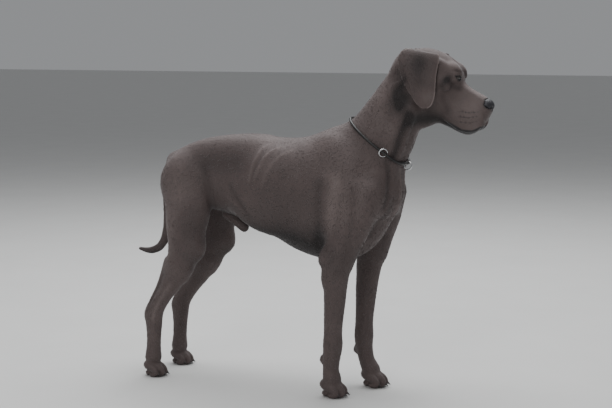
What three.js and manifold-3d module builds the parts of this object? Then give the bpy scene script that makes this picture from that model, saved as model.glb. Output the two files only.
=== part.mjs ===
// A blue great dane dog, full grown male, standing square and looking ahead, at life size.
// Millimetres, +X towards the nose, +Y towards the dog's left, +Z up, all four feet on z = 0.
// The flesh is one smooth field of bone and muscle masses. It is skinned once for each named
// part, and the parts are then split along thin planes where a person would name them.
import * as THREE from "three";
import { mergeVertices } from "three/addons/utils/BufferGeometryUtils.js";
import Module from "manifold-3d";

const wasm = await Module();
wasm.setup();

// Driving dimensions
const WITHERS = 870;
const CHEST_DEPTH = 0.495 * WITHERS;
const BRISKET_Z = WITHERS - CHEST_DEPTH;
const BACK_Z = 0.967 * WITHERS;
const ELBOW_Z = 0.535 * WITHERS;
const CARPUS_Z = 0.2 * WITHERS;
const HOCK_Z = 0.262 * WITHERS;
const CHEST_HALF = 0.162 * WITHERS;
const SEAM = 0.3;
const RIGHT = -1;
const LEFT = 1;

// Finishes
const coat = new THREE.MeshStandardMaterial({ color: 0x58504f, roughness: 0.62, metalness: 0 });
const noseSkin = new THREE.MeshStandardMaterial({ color: 0x17161a, roughness: 0.4, metalness: 0 });
const eyeGloss = new THREE.MeshStandardMaterial({ color: 0x2a1a10, roughness: 0.08, metalness: 0 });
const clawHorn = new THREE.MeshStandardMaterial({ color: 0x1d1b1c, roughness: 0.45, metalness: 0 });
const leather = new THREE.MeshStandardMaterial({ color: 0x0c0b0c, roughness: 0.5, metalness: 0 });
const steel = new THREE.MeshStandardMaterial({ color: 0xc9c9c6, roughness: 0.2, metalness: 1 });

// Fields: a shape is a function of x, y, z that is about the distance in mm to its surface, negative inside.
const blend = (a, b, soft) => {
  const near = Math.max(soft - Math.abs(a - b), 0) / soft;
  return Math.min(a, b) - near * near * soft * 0.25;
};

// How far a point is outside an oval, along the ray from its centre.
const radial = (length, rho) => (rho < 1e-6 ? -1e3 : length * (1 - 1 / rho));

// An oval mass: centre, three radii, and turns in degrees about Y, then Z, then X.
function mass(centre, radii, turns = [0, 0, 0]) {
  const [aboutY, aboutZ, aboutX] = turns.map(THREE.MathUtils.degToRad);
  const turn = new THREE.Matrix4()
    .makeRotationZ(aboutZ)
    .multiply(new THREE.Matrix4().makeRotationY(aboutY))
    .multiply(new THREE.Matrix4().makeRotationX(aboutX));
  const m = turn.elements;
  const reach = Math.max(...radii);
  const field = (x, y, z) => {
    const dx = x - centre[0];
    const dy = y - centre[1];
    const dz = z - centre[2];
    const u = (dx * m[0] + dy * m[1] + dz * m[2]) / radii[0];
    const v = (dx * m[4] + dy * m[5] + dz * m[6]) / radii[1];
    const w = (dx * m[8] + dy * m[9] + dz * m[10]) / radii[2];
    return radial(Math.hypot(dx, dy, dz), Math.hypot(u, v, w));
  };
  field.centre = centre;
  field.reach = reach;
  return field;
}

// A smooth curve through rows of numbers, with a few steps between each two rows.
function smoothRows(rows, steps) {
  const out = [];
  const at = (i) => rows[THREE.MathUtils.clamp(i, 0, rows.length - 1)];
  for (let i = 0; i < rows.length - 1; i++)
    for (let s = 0; s < steps; s++) {
      const t = s / steps;
      out.push(
        rows[i].map((p1, c) => {
          const p0 = at(i - 1)[c];
          const p2 = at(i + 1)[c];
          const p3 = at(i + 2)[c];
          return (
            0.5 *
            (2 * p1 +
              (p2 - p0) * t +
              (2 * p0 - 5 * p1 + 4 * p2 - p3) * t * t +
              (3 * p1 - p0 - 3 * p2 + p3) * t * t * t)
          );
        }),
      );
    }
  out.push(rows[rows.length - 1]);
  return out;
}

// A limb, neck or tail: rows of x, y, z, its radius fore and aft, and its radius sideways.
function limb(rows, steps = 3) {
  const stations = smoothRows(rows, steps);
  const spans = [];
  for (let i = 0; i < stations.length - 1; i++) {
    const [ax, ay, az, deepA, wideA] = stations[i];
    const [bx, by, bz, deepB, wideB] = stations[i + 1];
    const along = new THREE.Vector3(bx - ax, by - ay, bz - az);
    const length = along.length();
    along.normalize();
    const side = new THREE.Vector3(0, 1, 0).addScaledVector(along, -along.y).normalize();
    const fore = new THREE.Vector3().crossVectors(side, along);
    spans.push({ ax, ay, az, deepA, wideA, deepB, wideB, along, side, fore, length });
  }
  const box = new THREE.Box3().setFromPoints(stations.map((r) => new THREE.Vector3(...r)));
  const middle = box.getCenter(new THREE.Vector3());
  const field = (x, y, z) => {
    let best = 1e9;
    for (const s of spans) {
      const dx = x - s.ax;
      const dy = y - s.ay;
      const dz = z - s.az;
      const run = dx * s.along.x + dy * s.along.y + dz * s.along.z;
      const t = Math.min(Math.max(run / s.length, 0), 1);
      const u = dx * s.fore.x + dy * s.fore.y + dz * s.fore.z;
      const v = dx * s.side.x + dy * s.side.y + dz * s.side.z;
      const w = run - t * s.length;
      const deep = s.deepA + (s.deepB - s.deepA) * t;
      const wide = s.wideA + (s.wideB - s.wideA) * t;
      const rho = Math.hypot(u / deep, v / wide, (2 * w) / (deep + wide));
      best = Math.min(best, radial(Math.hypot(u, v, w), rho));
    }
    return best;
  };
  field.centre = middle.toArray();
  field.reach =
    box.getSize(new THREE.Vector3()).length() / 2 + Math.max(...rows.flatMap((r) => [r[3], r[4]]));
  return field;
}

// A trunk, skull or muzzle along X: rows of x, top, widest level, bottom, half width, squareness.
function barrel(rows, capRear, capFront, steps = 4) {
  const stations = smoothRows(rows, steps);
  const first = stations[0][0];
  const last = stations[stations.length - 1][0];
  const field = (x, y, z) => {
    const inside = Math.min(Math.max(x, first), last);
    let i = 0;
    while (i < stations.length - 2 && stations[i + 1][0] < inside) i++;
    const a = stations[i];
    const b = stations[i + 1];
    const t = (inside - a[0]) / (b[0] - a[0]);
    const [top, widest, bottom, half, square] = [1, 2, 3, 4, 5].map((c) => a[c] + (b[c] - a[c]) * t);
    const beyond = x - inside;
    const cap = beyond < 0 ? capRear : capFront;
    const rise = z > widest ? (z - widest) / (top - widest) : (widest - z) / (widest - bottom);
    const section = (Math.abs(y / half) ** square + Math.abs(rise) ** square) ** (1 / square);
    return radial(Math.hypot(beyond, y, z - widest), Math.hypot(section, beyond / cap));
  };
  const tops = rows.map((r) => r[1]);
  const bottoms = rows.map((r) => r[3]);
  const high = Math.max(...tops);
  const low = Math.min(...bottoms);
  field.centre = [(first + last) / 2, 0, (high + low) / 2];
  field.reach =
    Math.hypot((last - first) / 2 + Math.max(capRear, capFront), (high - low) / 2) +
    Math.max(...rows.map((r) => r[4])) / 2;
  return field;
}

// Both sides of the body at once, from a shape on the right side.
function paired(shape) {
  const field = (x, y, z) => shape(x, -Math.abs(y), z);
  field.centre = [shape.centre[0], 0, shape.centre[2]];
  field.reach = shape.reach + Math.abs(shape.centre[1]);
  return field;
}

// Masses melted together in order, each with its own softness in mm. A far mass is skipped.
function fused(...pairs) {
  const field = (x, y, z) => {
    let d = 1e9;
    for (const [shape, soft] of pairs) {
      const far = Math.hypot(x - shape.centre[0], y - shape.centre[1], z - shape.centre[2]);
      if (far - shape.reach > Math.abs(soft) + (soft > 0 ? d : -d)) continue;
      const own = shape(x, y, z);
      d = soft > 0 ? blend(d, own, soft) : -blend(-d, own, -soft);
    }
    return d;
  };
  const box = new THREE.Box3();
  for (const [shape] of pairs)
    box.union(
      new THREE.Box3().setFromCenterAndSize(
        new THREE.Vector3(...shape.centre),
        new THREE.Vector3(1, 1, 1).multiplyScalar(2 * shape.reach),
      ),
    );
  field.centre = box.getCenter(new THREE.Vector3()).toArray();
  field.reach = box.getSize(new THREE.Vector3()).length() / 2;
  return field;
}

// A shape made in its own frame, such as the head's, set in the dog's.
function placed(shape, matrix) {
  const m = matrix.clone().invert().elements;
  const field = (x, y, z) =>
    shape(
      m[0] * x + m[4] * y + m[8] * z + m[12],
      m[1] * x + m[5] * y + m[9] * z + m[13],
      m[2] * x + m[6] * y + m[10] * z + m[14],
    );
  field.centre = new THREE.Vector3(...shape.centre).applyMatrix4(matrix).toArray();
  field.reach = shape.reach;
  return field;
}

// Skinning: one vertex for each surface sheet in a cell, quads across each crossed grid edge.
const CORNERS = [0, 1, 2, 3, 4, 5, 6, 7].map((c) => [c & 1, (c >> 1) & 1, (c >> 2) & 1]);
const EDGES = [];
for (let a = 0; a < 8; a++)
  for (const bit of [1, 2, 4]) if (!(a & bit)) EDGES.push([a, a | bit]);
const FACES = [1, 2, 4].flatMap((bit) =>
  [0, bit].map((side) => {
    const [p, q] = [1, 2, 4].filter((other) => other !== bit);
    return [side, side | p, side | p | q, side | q];
  }),
);
const edgeOf = (a, b) => EDGES.findIndex(([p, q]) => (p === a && q === b) || (p === b && q === a));

// Which crossed edges of a cell belong to one sheet, for each of the 256 patterns of inside corners.
const SHEETS = Array.from({ length: 256 }, (_, pattern) => {
  const inside = (c) => (pattern >> c) & 1;
  const group = EDGES.map((_, e) => e);
  const find = (e) => (group[e] === e ? e : find(group[e]));
  for (const face of FACES) {
    const crossed = face
      .map((c, i) => [c, face[(i + 1) % 4]])
      .filter(([a, b]) => inside(a) !== inside(b));
    if (crossed.length === 2) group[find(edgeOf(...crossed[0]))] = find(edgeOf(...crossed[1]));
    if (crossed.length === 4)
      face.forEach((c, i) => {
        if (inside(c)) group[find(edgeOf(c, face[(i + 1) % 4]))] = find(edgeOf(c, face[(i + 3) % 4]));
      });
  }
  return EDGES.map(([a, b], e) => (inside(a) !== inside(b) ? find(e) : -1));
});

const gridLine = (low, high, step) => {
  const count = Math.max(2, Math.ceil((high - low) / step));
  return Array.from({ length: count + 1 }, (_, i) => low + ((high - low) * i) / count);
};

// A grid line whose steps are finer between two levels, as at the eyes or the toes.
const fineLine = (low, from, to, high, step, fine) => [
  ...gridLine(low, from, step).slice(0, -1),
  ...gridLine(from, to, fine).slice(0, -1),
  ...gridLine(to, high, step),
];

// The closed surface where a field is zero, on a grid of three lists of levels.
function skinned(field, xs, ys, zs) {
  const [nx, ny, nz] = [xs.length, ys.length, zs.length];
  const at = (i, j, k) => (i * ny + j) * nz + k;
  const value = new Float64Array(nx * ny * nz);
  xs.forEach((x, i) =>
    ys.forEach((y, j) =>
      zs.forEach((z, k) => {
        const rim = i === 0 || j === 0 || k === 0 || i === nx - 1 || j === ny - 1 || k === nz - 1;
        value[at(i, j, k)] = rim ? 1e3 : field(x, y, z) || 1e-6;
      }),
    ),
  );
  const points = [];
  const sheets = new Map();
  const settle = (p) => {
    const e = 0.5;
    for (let n = 0; n < 4; n++) {
      const d = field(...p);
      if (Math.abs(d) > 14) return p;
      const gradient = [0, 1, 2].map((c) => {
        const [up, down] = [p.slice(), p.slice()];
        up[c] += e;
        down[c] -= e;
        return (field(...up) - field(...down)) / (2 * e);
      });
      const steep = gradient.reduce((sum, g) => sum + g * g, 1e-4);
      gradient.forEach((g, c) => (p[c] -= THREE.MathUtils.clamp((d * g) / steep, -3, 3) * 0.8));
    }
    return p;
  };
  for (let i = 0; i < nx - 1; i++)
    for (let j = 0; j < ny - 1; j++)
      for (let k = 0; k < nz - 1; k++) {
        const corner = CORNERS.map(([a, b, c]) => value[at(i + a, j + b, k + c)]);
        const pattern = corner.reduce((bits, v, c) => bits | (v < 0 ? 1 << c : 0), 0);
        if (pattern === 0 || pattern === 255) continue;
        const found = new Map();
        SHEETS[pattern].forEach((sheet, e) => {
          if (sheet < 0) return;
          const [a, b] = EDGES[e];
          const t = Math.min(Math.max(corner[a] / (corner[a] - corner[b]), 0.05), 0.95);
          const spot = [xs, ys, zs].map((line, c) => {
            const n = [i, j, k][c];
            const from = line[n + CORNERS[a][c]];
            return from + (line[n + CORNERS[b][c]] - from) * t;
          });
          const sum = found.get(sheet) || [0, 0, 0, 0];
          found.set(sheet, [sum[0] + spot[0], sum[1] + spot[1], sum[2] + spot[2], sum[3] + 1]);
        });
        for (const [sheet, [x, y, z, n]] of found) {
          sheets.set(at(i, j, k) * 12 + sheet, points.length);
          points.push(settle([x / n, y / n, z / n]));
        }
      }
  const vertexOf = (i, j, k, a, b) => {
    const corner = CORNERS.map(([p, q, r]) => value[at(i + p, j + q, k + r)]);
    const pattern = corner.reduce((bits, v, c) => bits | (v < 0 ? 1 << c : 0), 0);
    return sheets.get(at(i, j, k) * 12 + SHEETS[pattern][edgeOf(a, b)]);
  };
  const triangles = [];
  const gap = (p, q) => Math.hypot(...[0, 1, 2].map((c) => points[p][c] - points[q][c]));
  const quad = (a, b, c, d, flip) => {
    const [p, q, r, s] = flip ? [a, d, c, b] : [a, b, c, d];
    if (gap(p, r) < gap(q, s)) triangles.push(p, q, r, p, r, s);
    else triangles.push(q, r, s, q, s, p);
  };
  for (let i = 0; i < nx - 1; i++)
    for (let j = 0; j < ny - 1; j++)
      for (let k = 0; k < nz - 1; k++) {
        const here = value[at(i, j, k)] < 0;
        if (here !== value[at(i + 1, j, k)] < 0)
          quad(
            vertexOf(i, j - 1, k - 1, 6, 7),
            vertexOf(i, j, k - 1, 4, 5),
            vertexOf(i, j, k, 0, 1),
            vertexOf(i, j - 1, k, 2, 3),
            !here,
          );
        if (here !== value[at(i, j + 1, k)] < 0)
          quad(
            vertexOf(i - 1, j, k - 1, 5, 7),
            vertexOf(i - 1, j, k, 1, 3),
            vertexOf(i, j, k, 0, 2),
            vertexOf(i, j, k - 1, 4, 6),
            !here,
          );
        if (here !== value[at(i, j, k + 1)] < 0)
          quad(
            vertexOf(i - 1, j - 1, k, 3, 7),
            vertexOf(i, j - 1, k, 2, 6),
            vertexOf(i, j, k, 0, 4),
            vertexOf(i - 1, j, k, 1, 5),
            !here,
          );
      }
  const surface = new THREE.BufferGeometry();
  surface.setAttribute("position", new THREE.Float32BufferAttribute(points.flat(), 3));
  return surface.setIndex(triangles);
}

// Solids
function solidOf(surface) {
  const bare = surface.clone();
  bare.deleteAttribute("normal");
  bare.deleteAttribute("uv");
  const merged = mergeVertices(bare, 1e-4);
  const made = new wasm.Manifold(
    new wasm.Mesh({
      numProp: 3,
      vertProperties: new Float32Array(merged.attributes.position.array),
      triVerts: new Uint32Array(merged.index.array),
    }),
  );
  return made;
}

function geometryOf(solid) {
  const mesh = solid.getMesh();
  const surface = new THREE.BufferGeometry();
  const flat = new Float32Array(mesh.numVert * 3);
  for (let i = 0; i < mesh.numVert; i++)
    flat.set(mesh.vertProperties.subarray(i * mesh.numProp, i * mesh.numProp + 3), i * 3);
  surface.setAttribute("position", new THREE.BufferAttribute(flat, 3));
  surface.setIndex(new THREE.BufferAttribute(mesh.triVerts, 1));
  return surface;
}

const largestOf = (solid) => {
  const bodies = solid.decompose();
  return bodies.reduce((best, body) => (body.volume() > best.volume() ? body : best), bodies[0]);
};

// Fewer triangles: the edges whose loss bends the surface least are closed first, up to a mean bend in mm.
const crossOf = (a, b, c) => {
  const [ux, uy, uz] = [b[0] - a[0], b[1] - a[1], b[2] - a[2]];
  const [vx, vy, vz] = [c[0] - a[0], c[1] - a[1], c[2] - a[2]];
  return [uy * vz - uz * vy, uz * vx - ux * vz, ux * vy - uy * vx];
};
const dotOf = (a, b) => a[0] * b[0] + a[1] * b[1] + a[2] * b[2];
function thinned(surface, bend) {
  const flat = surface.attributes.position.array;
  const points = Array.from({ length: flat.length / 3 }, (_, i) => Array.from(flat.subarray(3 * i, 3 * i + 3)));
  const faces = [];
  for (let i = 0; i < surface.index.count; i += 3) faces.push(Array.from(surface.index.array.slice(i, i + 3)));
  const around = points.map(() => new Set());
  const bends = points.map(() => new Float64Array(11));
  faces.forEach((face, f) => {
    const n = crossOf(...face.map((v) => points[v]));
    const size = Math.hypot(...n) || 1e-9;
    const [x, y, z] = n.map((c) => c / size);
    const w = -dotOf([x, y, z], points[face[0]]);
    const terms = [x * x, x * y, x * z, x * w, y * y, y * z, y * w, z * z, z * w, w * w, 1];
    for (const v of face) {
      around[v].add(f);
      terms.forEach((term, c) => (bends[v][c] += term * size));
    }
  });
  const costAt = (q, [x, y, z]) =>
    (q[0] * x * x + q[4] * y * y + q[7] * z * z + q[9]) / q[10] +
    (2 * (q[1] * x * y + q[2] * x * z + q[3] * x + q[5] * y * z + q[6] * y + q[8] * z)) / q[10];
  const ring = (v) => new Set([...around[v]].flatMap((f) => faces[f]).filter((other) => other !== v));
  const mayClose = (gone, kept) => {
    const [near, far] = [ring(gone), ring(kept)];
    if ([...near].filter((v) => far.has(v)).length !== 2) return false;
    for (const f of around[gone]) {
      if (faces[f].includes(kept)) continue;
      const before = crossOf(...faces[f].map((v) => points[v]));
      const corners = faces[f].map((v) => points[v === gone ? kept : v]);
      const after = crossOf(...corners);
      const size = Math.hypot(...after);
      if (dotOf(before, after) < 0.5 * Math.hypot(...before) * size) return false;
      const spans = corners.map((c, i) => Math.hypot(...c.map((u, k) => u - corners[(i + 1) % 3][k])));
      if (Math.max(...spans) ** 2 > 14 * size) return false;
    }
    return true;
  };
  for (let pass = 0; pass < 40; pass++) {
    const edges = [];
    faces.forEach((face) => {
      if (!face) return;
      for (let c = 0; c < 3; c++) {
        const [a, b] = [face[c], face[(c + 1) % 3]];
        if (a > b) continue;
        const both = bends[a].map((term, k) => term + bends[b][k]);
        const [costA, costB] = [costAt(both, points[a]), costAt(both, points[b])];
        const cost = Math.min(costA, costB);
        if (cost < bend * bend) edges.push({ cost, kept: costA < costB ? a : b, gone: costA < costB ? b : a });
      }
    });
    edges.sort((a, b) => a.cost - b.cost);
    const held = new Uint8Array(points.length);
    let closed = 0;
    for (const { kept, gone } of edges.slice(0, Math.ceil(edges.length / 2))) {
      if (held[kept] || held[gone] || !mayClose(gone, kept)) continue;
      ring(gone).forEach((v) => (held[v] = 1));
      ring(kept).forEach((v) => (held[v] = 1));
      for (const f of [...around[gone]]) {
        if (faces[f].includes(kept)) {
          faces[f].forEach((v) => around[v].delete(f));
          faces[f] = null;
        } else {
          faces[f] = faces[f].map((v) => (v === gone ? kept : v));
          around[kept].add(f);
        }
      }
      around[gone].clear();
      bends[gone].forEach((term, c) => (bends[kept][c] += term));
      closed++;
    }
    if (closed < 4) break;
  }
  const used = new Map();
  const out = [];
  const triangles = faces
    .filter((face) => face)
    .flatMap((face) =>
      face.map((v) => {
        if (!used.has(v)) {
          used.set(v, used.size);
          out.push(...points[v]);
        }
        return used.get(v);
      }),
    );
  const thin = new THREE.BufferGeometry();
  thin.setAttribute("position", new THREE.Float32BufferAttribute(out, 3));
  return thin.setIndex(triangles);
}

// A big block whose one face lies on a plane, with the block on the side that the normal leaves.
const BLOCK = 1600;
function blockBehind(point, normal) {
  const towards = new THREE.Vector3(...normal).normalize();
  const block = new THREE.BoxGeometry(BLOCK, BLOCK, BLOCK);
  block.translate(0, 0, -BLOCK / 2);
  block.applyQuaternion(new THREE.Quaternion().setFromUnitVectors(new THREE.Vector3(0, 0, 1), towards));
  block.translate(...point);
  return solidOf(block);
}
const shifted = (point, normal, by) => {
  const n = new THREE.Vector3(...normal).normalize();
  return point.map((p, c) => p + by * n.getComponent(c));
};

// Trunk: back line, keel of the chest and tucked belly
const trunk = barrel(
  [
    [-284, 722, 668, 620, 54, 2],
    [-258, 756, 682, 592, 84, 2.1],
    [-218, 788, 696, 588, 104, 2.2],
    [-178, 808, 706, 586, 113, 2.2],
    [-110, 830, 714, 580, 113, 2.2],
    [-40, 0.967 * WITHERS, 714, 566, 110, 2.2],
    [40, BACK_Z + 3, 706, 536, 119, 2.2],
    [125, BACK_Z - 5, 694, 500, 133, 2.15],
    [200, BACK_Z - 4, 682, 463, CHEST_HALF, 2.1],
    [275, WITHERS - 18, 678, BRISKET_Z + 2, CHEST_HALF - 1, 2.05],
    [345, WITHERS - 6, 676, BRISKET_Z, 130, 2.05],
    [415, WITHERS - 22, 676, BRISKET_Z + 14, 114, 2.05],
    [476, 806, 684, 500, 90, 2.05],
    [520, 756, 690, 570, 62, 2],
    [538, 732, 694, 626, 40, 2],
  ],
  26,
  22,
);
const breast = mass([512, 0, 662], [40, 46, 78], [-8, 0, 0]);
const breastSide = paired(mass([504, -50, 672], [38, 38, 84], [-10, 0, 0]));
const loin = paired(limb([[-250, -34, 742, 38, 38], [-120, -38, 782, 42, 40], [60, -40, 790, 42, 42]]));
const ribcage = paired(mass([150, -78, 655], [165, 52, 130], [-10, 0, 0]));
const sheath = limb([
  [-80, 0, 566, 15, 15],
  [-40, 0, 545, 18, 17],
  [-10, 0, 524, 17, 15],
]);

// Neck: a long arch from the withers to the skull
const neck = limb([
  [390, 0, 742, 138, 90],
  [436, 1, 784, 124, 82],
  [478, 3, 832, 111, 74],
  [511, 7, 888, 99, 68],
  [541, 11, 941, 91, 64],
  [574, 14, 990, 88, 62],
  [606, 16, 1030, 84, 60],
]);
const crest = limb([
  [366, 0, 796, 50, 34],
  [432, 1, 864, 46, 30],
  [482, 4, 924, 44, 28],
  [533, 10, 986, 44, 29],
  [582, 14, 1038, 44, 33],
]);
const throatCord = paired(
  limb([[524, -30, 738, 30, 24], [542, -37, 806, 28, 24], [568, -39, 878, 27, 25], [602, -37, 940, 27, 25]]),
);

// Shoulders and upper arms, one side. The forward shift lets one leg stand ahead of the other.
function shoulder(side, forward) {
  const y = (v) => side * v;
  return fused(
    [mass([384 + 0.4 * forward, y(88), 730], [66, 36, 128], [-33, 0, side * 12]), 1],
    [mass([352 + 0.5 * forward, y(104), 626], [78, 36, 100], [-25, 0, side * 4]), 40],
    [
      limb([
        [478 + 0.3 * forward, y(88), 668, 52, 46],
        [450 + 0.5 * forward, y(100), 596, 56, 48],
        [416 + 0.7 * forward, y(107), 520, 54, 44],
        [389 + forward, y(109), 462, 50, 41],
      ]),
      36,
    ],
  );
}

// A foreleg from the elbow to the pastern, then a hind leg from the hip to the hock and down.
function foreleg(side, rows, elbow) {
  return fused(
    [limb(rows.map(([x, y, z, deep, wide]) => [x, side * y, z, deep, wide])), 1],
    [mass([elbow[0], side * elbow[1], elbow[2]], [20, 19, 30], [24, 0, 0]), 22],
    [mass([elbow[0] + 18, side * (elbow[1] - 3), elbow[2] - 52], [27, 22, 52], [14, 0, 0]), 18],
  );
}
const rightFore = foreleg(
  RIGHT,
  [
    [388, 109, 476, 50, 42],
    [381, 108, 430, 46, 38],
    [375, 105, 378, 41, 35],
    [371, 102, 322, 37, 32],
    [366, 99, 262, 33, 29],
    [363, 97, 214, 31, 28],
    [362, 96, CARPUS_Z, 33, 32],
    [359, 95, 142, 30, 31],
    [356, 94, 116, 28, 28],
    [354, 93, 88, 27, 28],
    [358, 93, 58, 30, 34],
  ],
  [344, 121, 0.995 * ELBOW_Z],
);
const leftFore = foreleg(
  LEFT,
  [
    [416, 105, 480, 50, 42],
    [410, 104, 434, 46, 38],
    [404, 101, 382, 41, 35],
    [399, 98, 324, 37, 32],
    [396, 95, 264, 33, 29],
    [394, 93, 214, 31, 28],
    [394, 91, CARPUS_Z, 33, 32],
    [395, 90, 142, 30, 31],
    [399, 89, 116, 28, 28],
    [407, 88, 86, 27, 28],
    [422, 87, 56, 30, 34],
  ],
  [374, 117, ELBOW_Z],
);

function hindquarter(side, hipShift, footShift) {
  const shiftAt = (z) => THREE.MathUtils.mapLinear(THREE.MathUtils.clamp(z, 230, 560), 230, 560, footShift, hipShift);
  const rows = (list) => list.map(([x, y, z, deep, wide]) => [x + shiftAt(z), side * y, z, deep, wide]);
  const shift = hipShift;
  return fused(
    [mass([-216 + shift, side * 74, 684], [70, 50, 90], [18, 0, 0]), 1],
    [
      limb(
        rows([
          [-182, 80, 690, 84, 48],
          [-176, 89, 610, 86, 52],
          [-182, 95, 540, 76, 50],
          [-184, 98, 478, 66, 44],
          [-196, 99, 425, 56, 38],
          [-216, 99, 372, 45, 34],
        ]),
      ),
      34,
    ],
    [mass([-152 + shift, side * 100, 462], [40, 36, 46], [-20, 0, 0]), 24],
    [
      limb(
        rows([
          [-210, 99, 392, 48, 36],
          [-238, 99, 338, 38, 29],
          [-267, 99, 292, 29, 25],
          [-295, 98, 252, 29, 24],
          [-312, 97, 222, 33, 25],
          [-315, 96, 190, 31, 25],
          [-316, 95, 150, 27, 23],
          [-318, 95, 104, 26, 23],
          [-320, 95, 66, 29, 30],
        ]),
      ),
      16,
    ],
    [mass([-328 + footShift, side * 97, 0.92 * HOCK_Z], [20, 15, 26], [-14, 0, 0]), 14],
    [
      limb(rows([[-250, 97, 404, 20, 15], [-283, 97, 328, 14, 12], [-313, 97, 270, 12, 11], [-326, 97, 230, 13, 12]])),
      16,
    ],
  );
}

const tail = limb([
  [-262, 0, 716, 30, 28],
  [-286, 0, 698, 28, 26],
  [-301, 0, 662, 25, 24],
  [-307, 0, 612, 21, 20],
  [-309, 0, 560, 18, 17],
  [-314, 0, 506, 16, 16],
  [-327, 0, 462, 15, 15],
  [-350, 0, 434, 14.5, 14],
  [-386, 0, 421, 12, 12],
  [-428, 0, 425, 6, 6],
]);

// Feet: four arched toes over a main pad, and a smaller pad behind the wrist of each foreleg
const TOES = [
  { out: 31, ahead: -8, size: 0.94 },
  { out: 11, ahead: 4, size: 1 },
  { out: -10.5, ahead: 4, size: 1 },
  { out: -30.5, ahead: -9, size: 0.92 },
];
function foot(x, y, size) {
  const s = (v) => v * size;
  const masses = [
    [mass([x - s(6), y, s(38)], [s(42), s(36), s(24)], [10, 0, 0]), 1],
    [mass([x - s(17), y, s(11)], [s(22), s(26), s(13)], [0, 0, 0]), 8],
  ];
  for (const toe of TOES) {
    const across = y + s(toe.out);
    const at = x + s(toe.ahead);
    const r = s(toe.size);
    masses.push([
      limb([
        [at - 14 * r, across - s(0.3 * toe.out), 44 * r, 13 * r, 10.5 * r],
        [at + 12 * r, across - s(0.06 * toe.out), 41 * r, 13.5 * r, 11 * r],
        [at + 30 * r, across, 29 * r, 13 * r, 10.8 * r],
        [at + 37 * r, across, 16 * r, 12.5 * r, 10 * r],
      ]),
      6,
    ]);
    masses.push([mass([at + 26 * r, across, 8.5 * r], [17 * r, 10.5 * r, 10.5 * r]), 5]);
  }
  return fused(...masses);
}
const FRONT_FOOT = 0.95;
const HIND_FOOT = 0.88;
const RIGHT_FORE_FOOT = [361, -93];
const LEFT_FORE_FOOT = [432, 87];
const RIGHT_HIND_FOOT = [-314, -96];
const LEFT_HIND_FOOT = [-320, 96];
const stopperPad = (x, y) => mass([x, y, 122], [13, 12, 16], [10, 0, 0]);

// Head, in its own frame: x towards the nose, z up from the middle of the skull
const HEAD_AT = [571.6, 15.8, 1109.8];
const HEAD_DOWN = THREE.MathUtils.degToRad(29);
const HEAD_LEFT = THREE.MathUtils.degToRad(4);
const headFrame = new THREE.Matrix4()
  .makeTranslation(...HEAD_AT)
  .multiply(new THREE.Matrix4().makeRotationZ(HEAD_LEFT))
  .multiply(new THREE.Matrix4().makeRotationY(HEAD_DOWN));
const bodyFrame = headFrame.clone().invert();

const EYE = [180, -36.5, 24];
const EYE_R = 12.5;
const GAZE = new THREE.Vector3(0.9, -0.42, 0.05).normalize();

const skull = barrel(
  [
    [8, 26, -32, -100, 50, 2],
    [40, 49, -24, -112, 60, 2.1],
    [75, 61, -20, -122, 64, 2.2],
    [110, 64, -20, -128, 65, 2.3],
    [142, 62, -24, -128, 61, 2.3],
    [165, 55, -30, -128, 54, 2.4],
    [184, 40, -38, -124, 47, 2.4],
    [202, 20, -46, -118, 42, 2.5],
    [222, 13, -56, -114, 40, 2.5],
    [255, 12, -62, -112, 39, 2.5],
    [288, 12, -60, -106, 37, 2.5],
    [309, 10, -52, -92, 33, 2.4],
    [317, 4, -44, -74, 28, 2.3],
  ],
  36,
  10,
);
const brow = paired(mass([164, -31, 42], [27, 18, 14], [14, 0, 0]));
const orbit = paired(mass([162, -37, 19], [27, 17, 23], [0, -24, 0]));
const orbitWall = paired(mass([176, -29, 18], [18, 13, 20], [0, 0, 0]));
const cheekBone = paired(mass([136, -50, -8], [58, 16, 24], [10, -10, 0]));
const cheek = paired(mass([112, -44, -52], [56, 26, 48], [0, 0, 0]));
const flew = paired(mass([262, -30, -72], [66, 15, 48], [-6, -3, 0]));
const lipCorner = paired(mass([222, -36, -96], [26, 10, 18], [10, 0, 0]));
const temple = paired(mass([120, -50, 30], [44, 14, 18], [0, 10, 0]));
const muzzleHollow = paired(mass([214, -60, -20], [30, 20, 24], [0, 0, 0]));
const furrow = mass([150, 0, 72], [42, 6, 14], [6, 0, 0]);
const underJaw = mass([170, 0, -112], [60, 34, 26], [0, 0, 0]);
const throat = mass([126, 0, -140], [54, 36, 46], [0, 0, 0]);
const noseSeat = mass([300, 0, -10], [20, 25, 20]);
const face = fused(
  [skull, 1],
  [cheek, 22],
  [cheekBone, 16],
  [temple, 16],
  [orbit, 18],
  [orbitWall, 12],
  [brow, 14],
  [flew, 12],
  [lipCorner, 9],
  [underJaw, 24],
  [throat, 30],
  [noseSeat, 8],
  [muzzleHollow, -22],
  [furrow, -10],
);

// Lower jaw, closed inside the hanging lips
const chin = barrel(
  [
    [150, -70, -104, -136, 36, 2.2],
    [200, -72, -104, -134, 34, 2.3],
    [240, -74, -104, -131, 31, 2.4],
    [272, -72, -102, -129, 30, 2.4],
    [296, -66, -92, -122, 28, 2.3],
    [312, -60, -80, -107, 23, 2.2],
    [321, -58, -70, -88, 15, 2],
  ],
  10,
  7,
);

// Nose leather, with a nostril on each side that runs back into a slit, and a groove down the middle
const nosePad = fused(
  [mass([302, 0, -8], [23, 22, 19]), 1],
  [paired(mass([300, -15, -10], [17, 11, 15], [0, -12, 0])), 8],
  [paired(mass([322, -11, -9], [11, 5.2, 6.4], [0, 30, 0])), -3],
  [paired(mass([309, -23, -14], [11, 5, 3.4], [22, -16, 0])), -3],
  [mass([327, 0, -20], [8, 1.6, 14]), -3],
);

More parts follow.
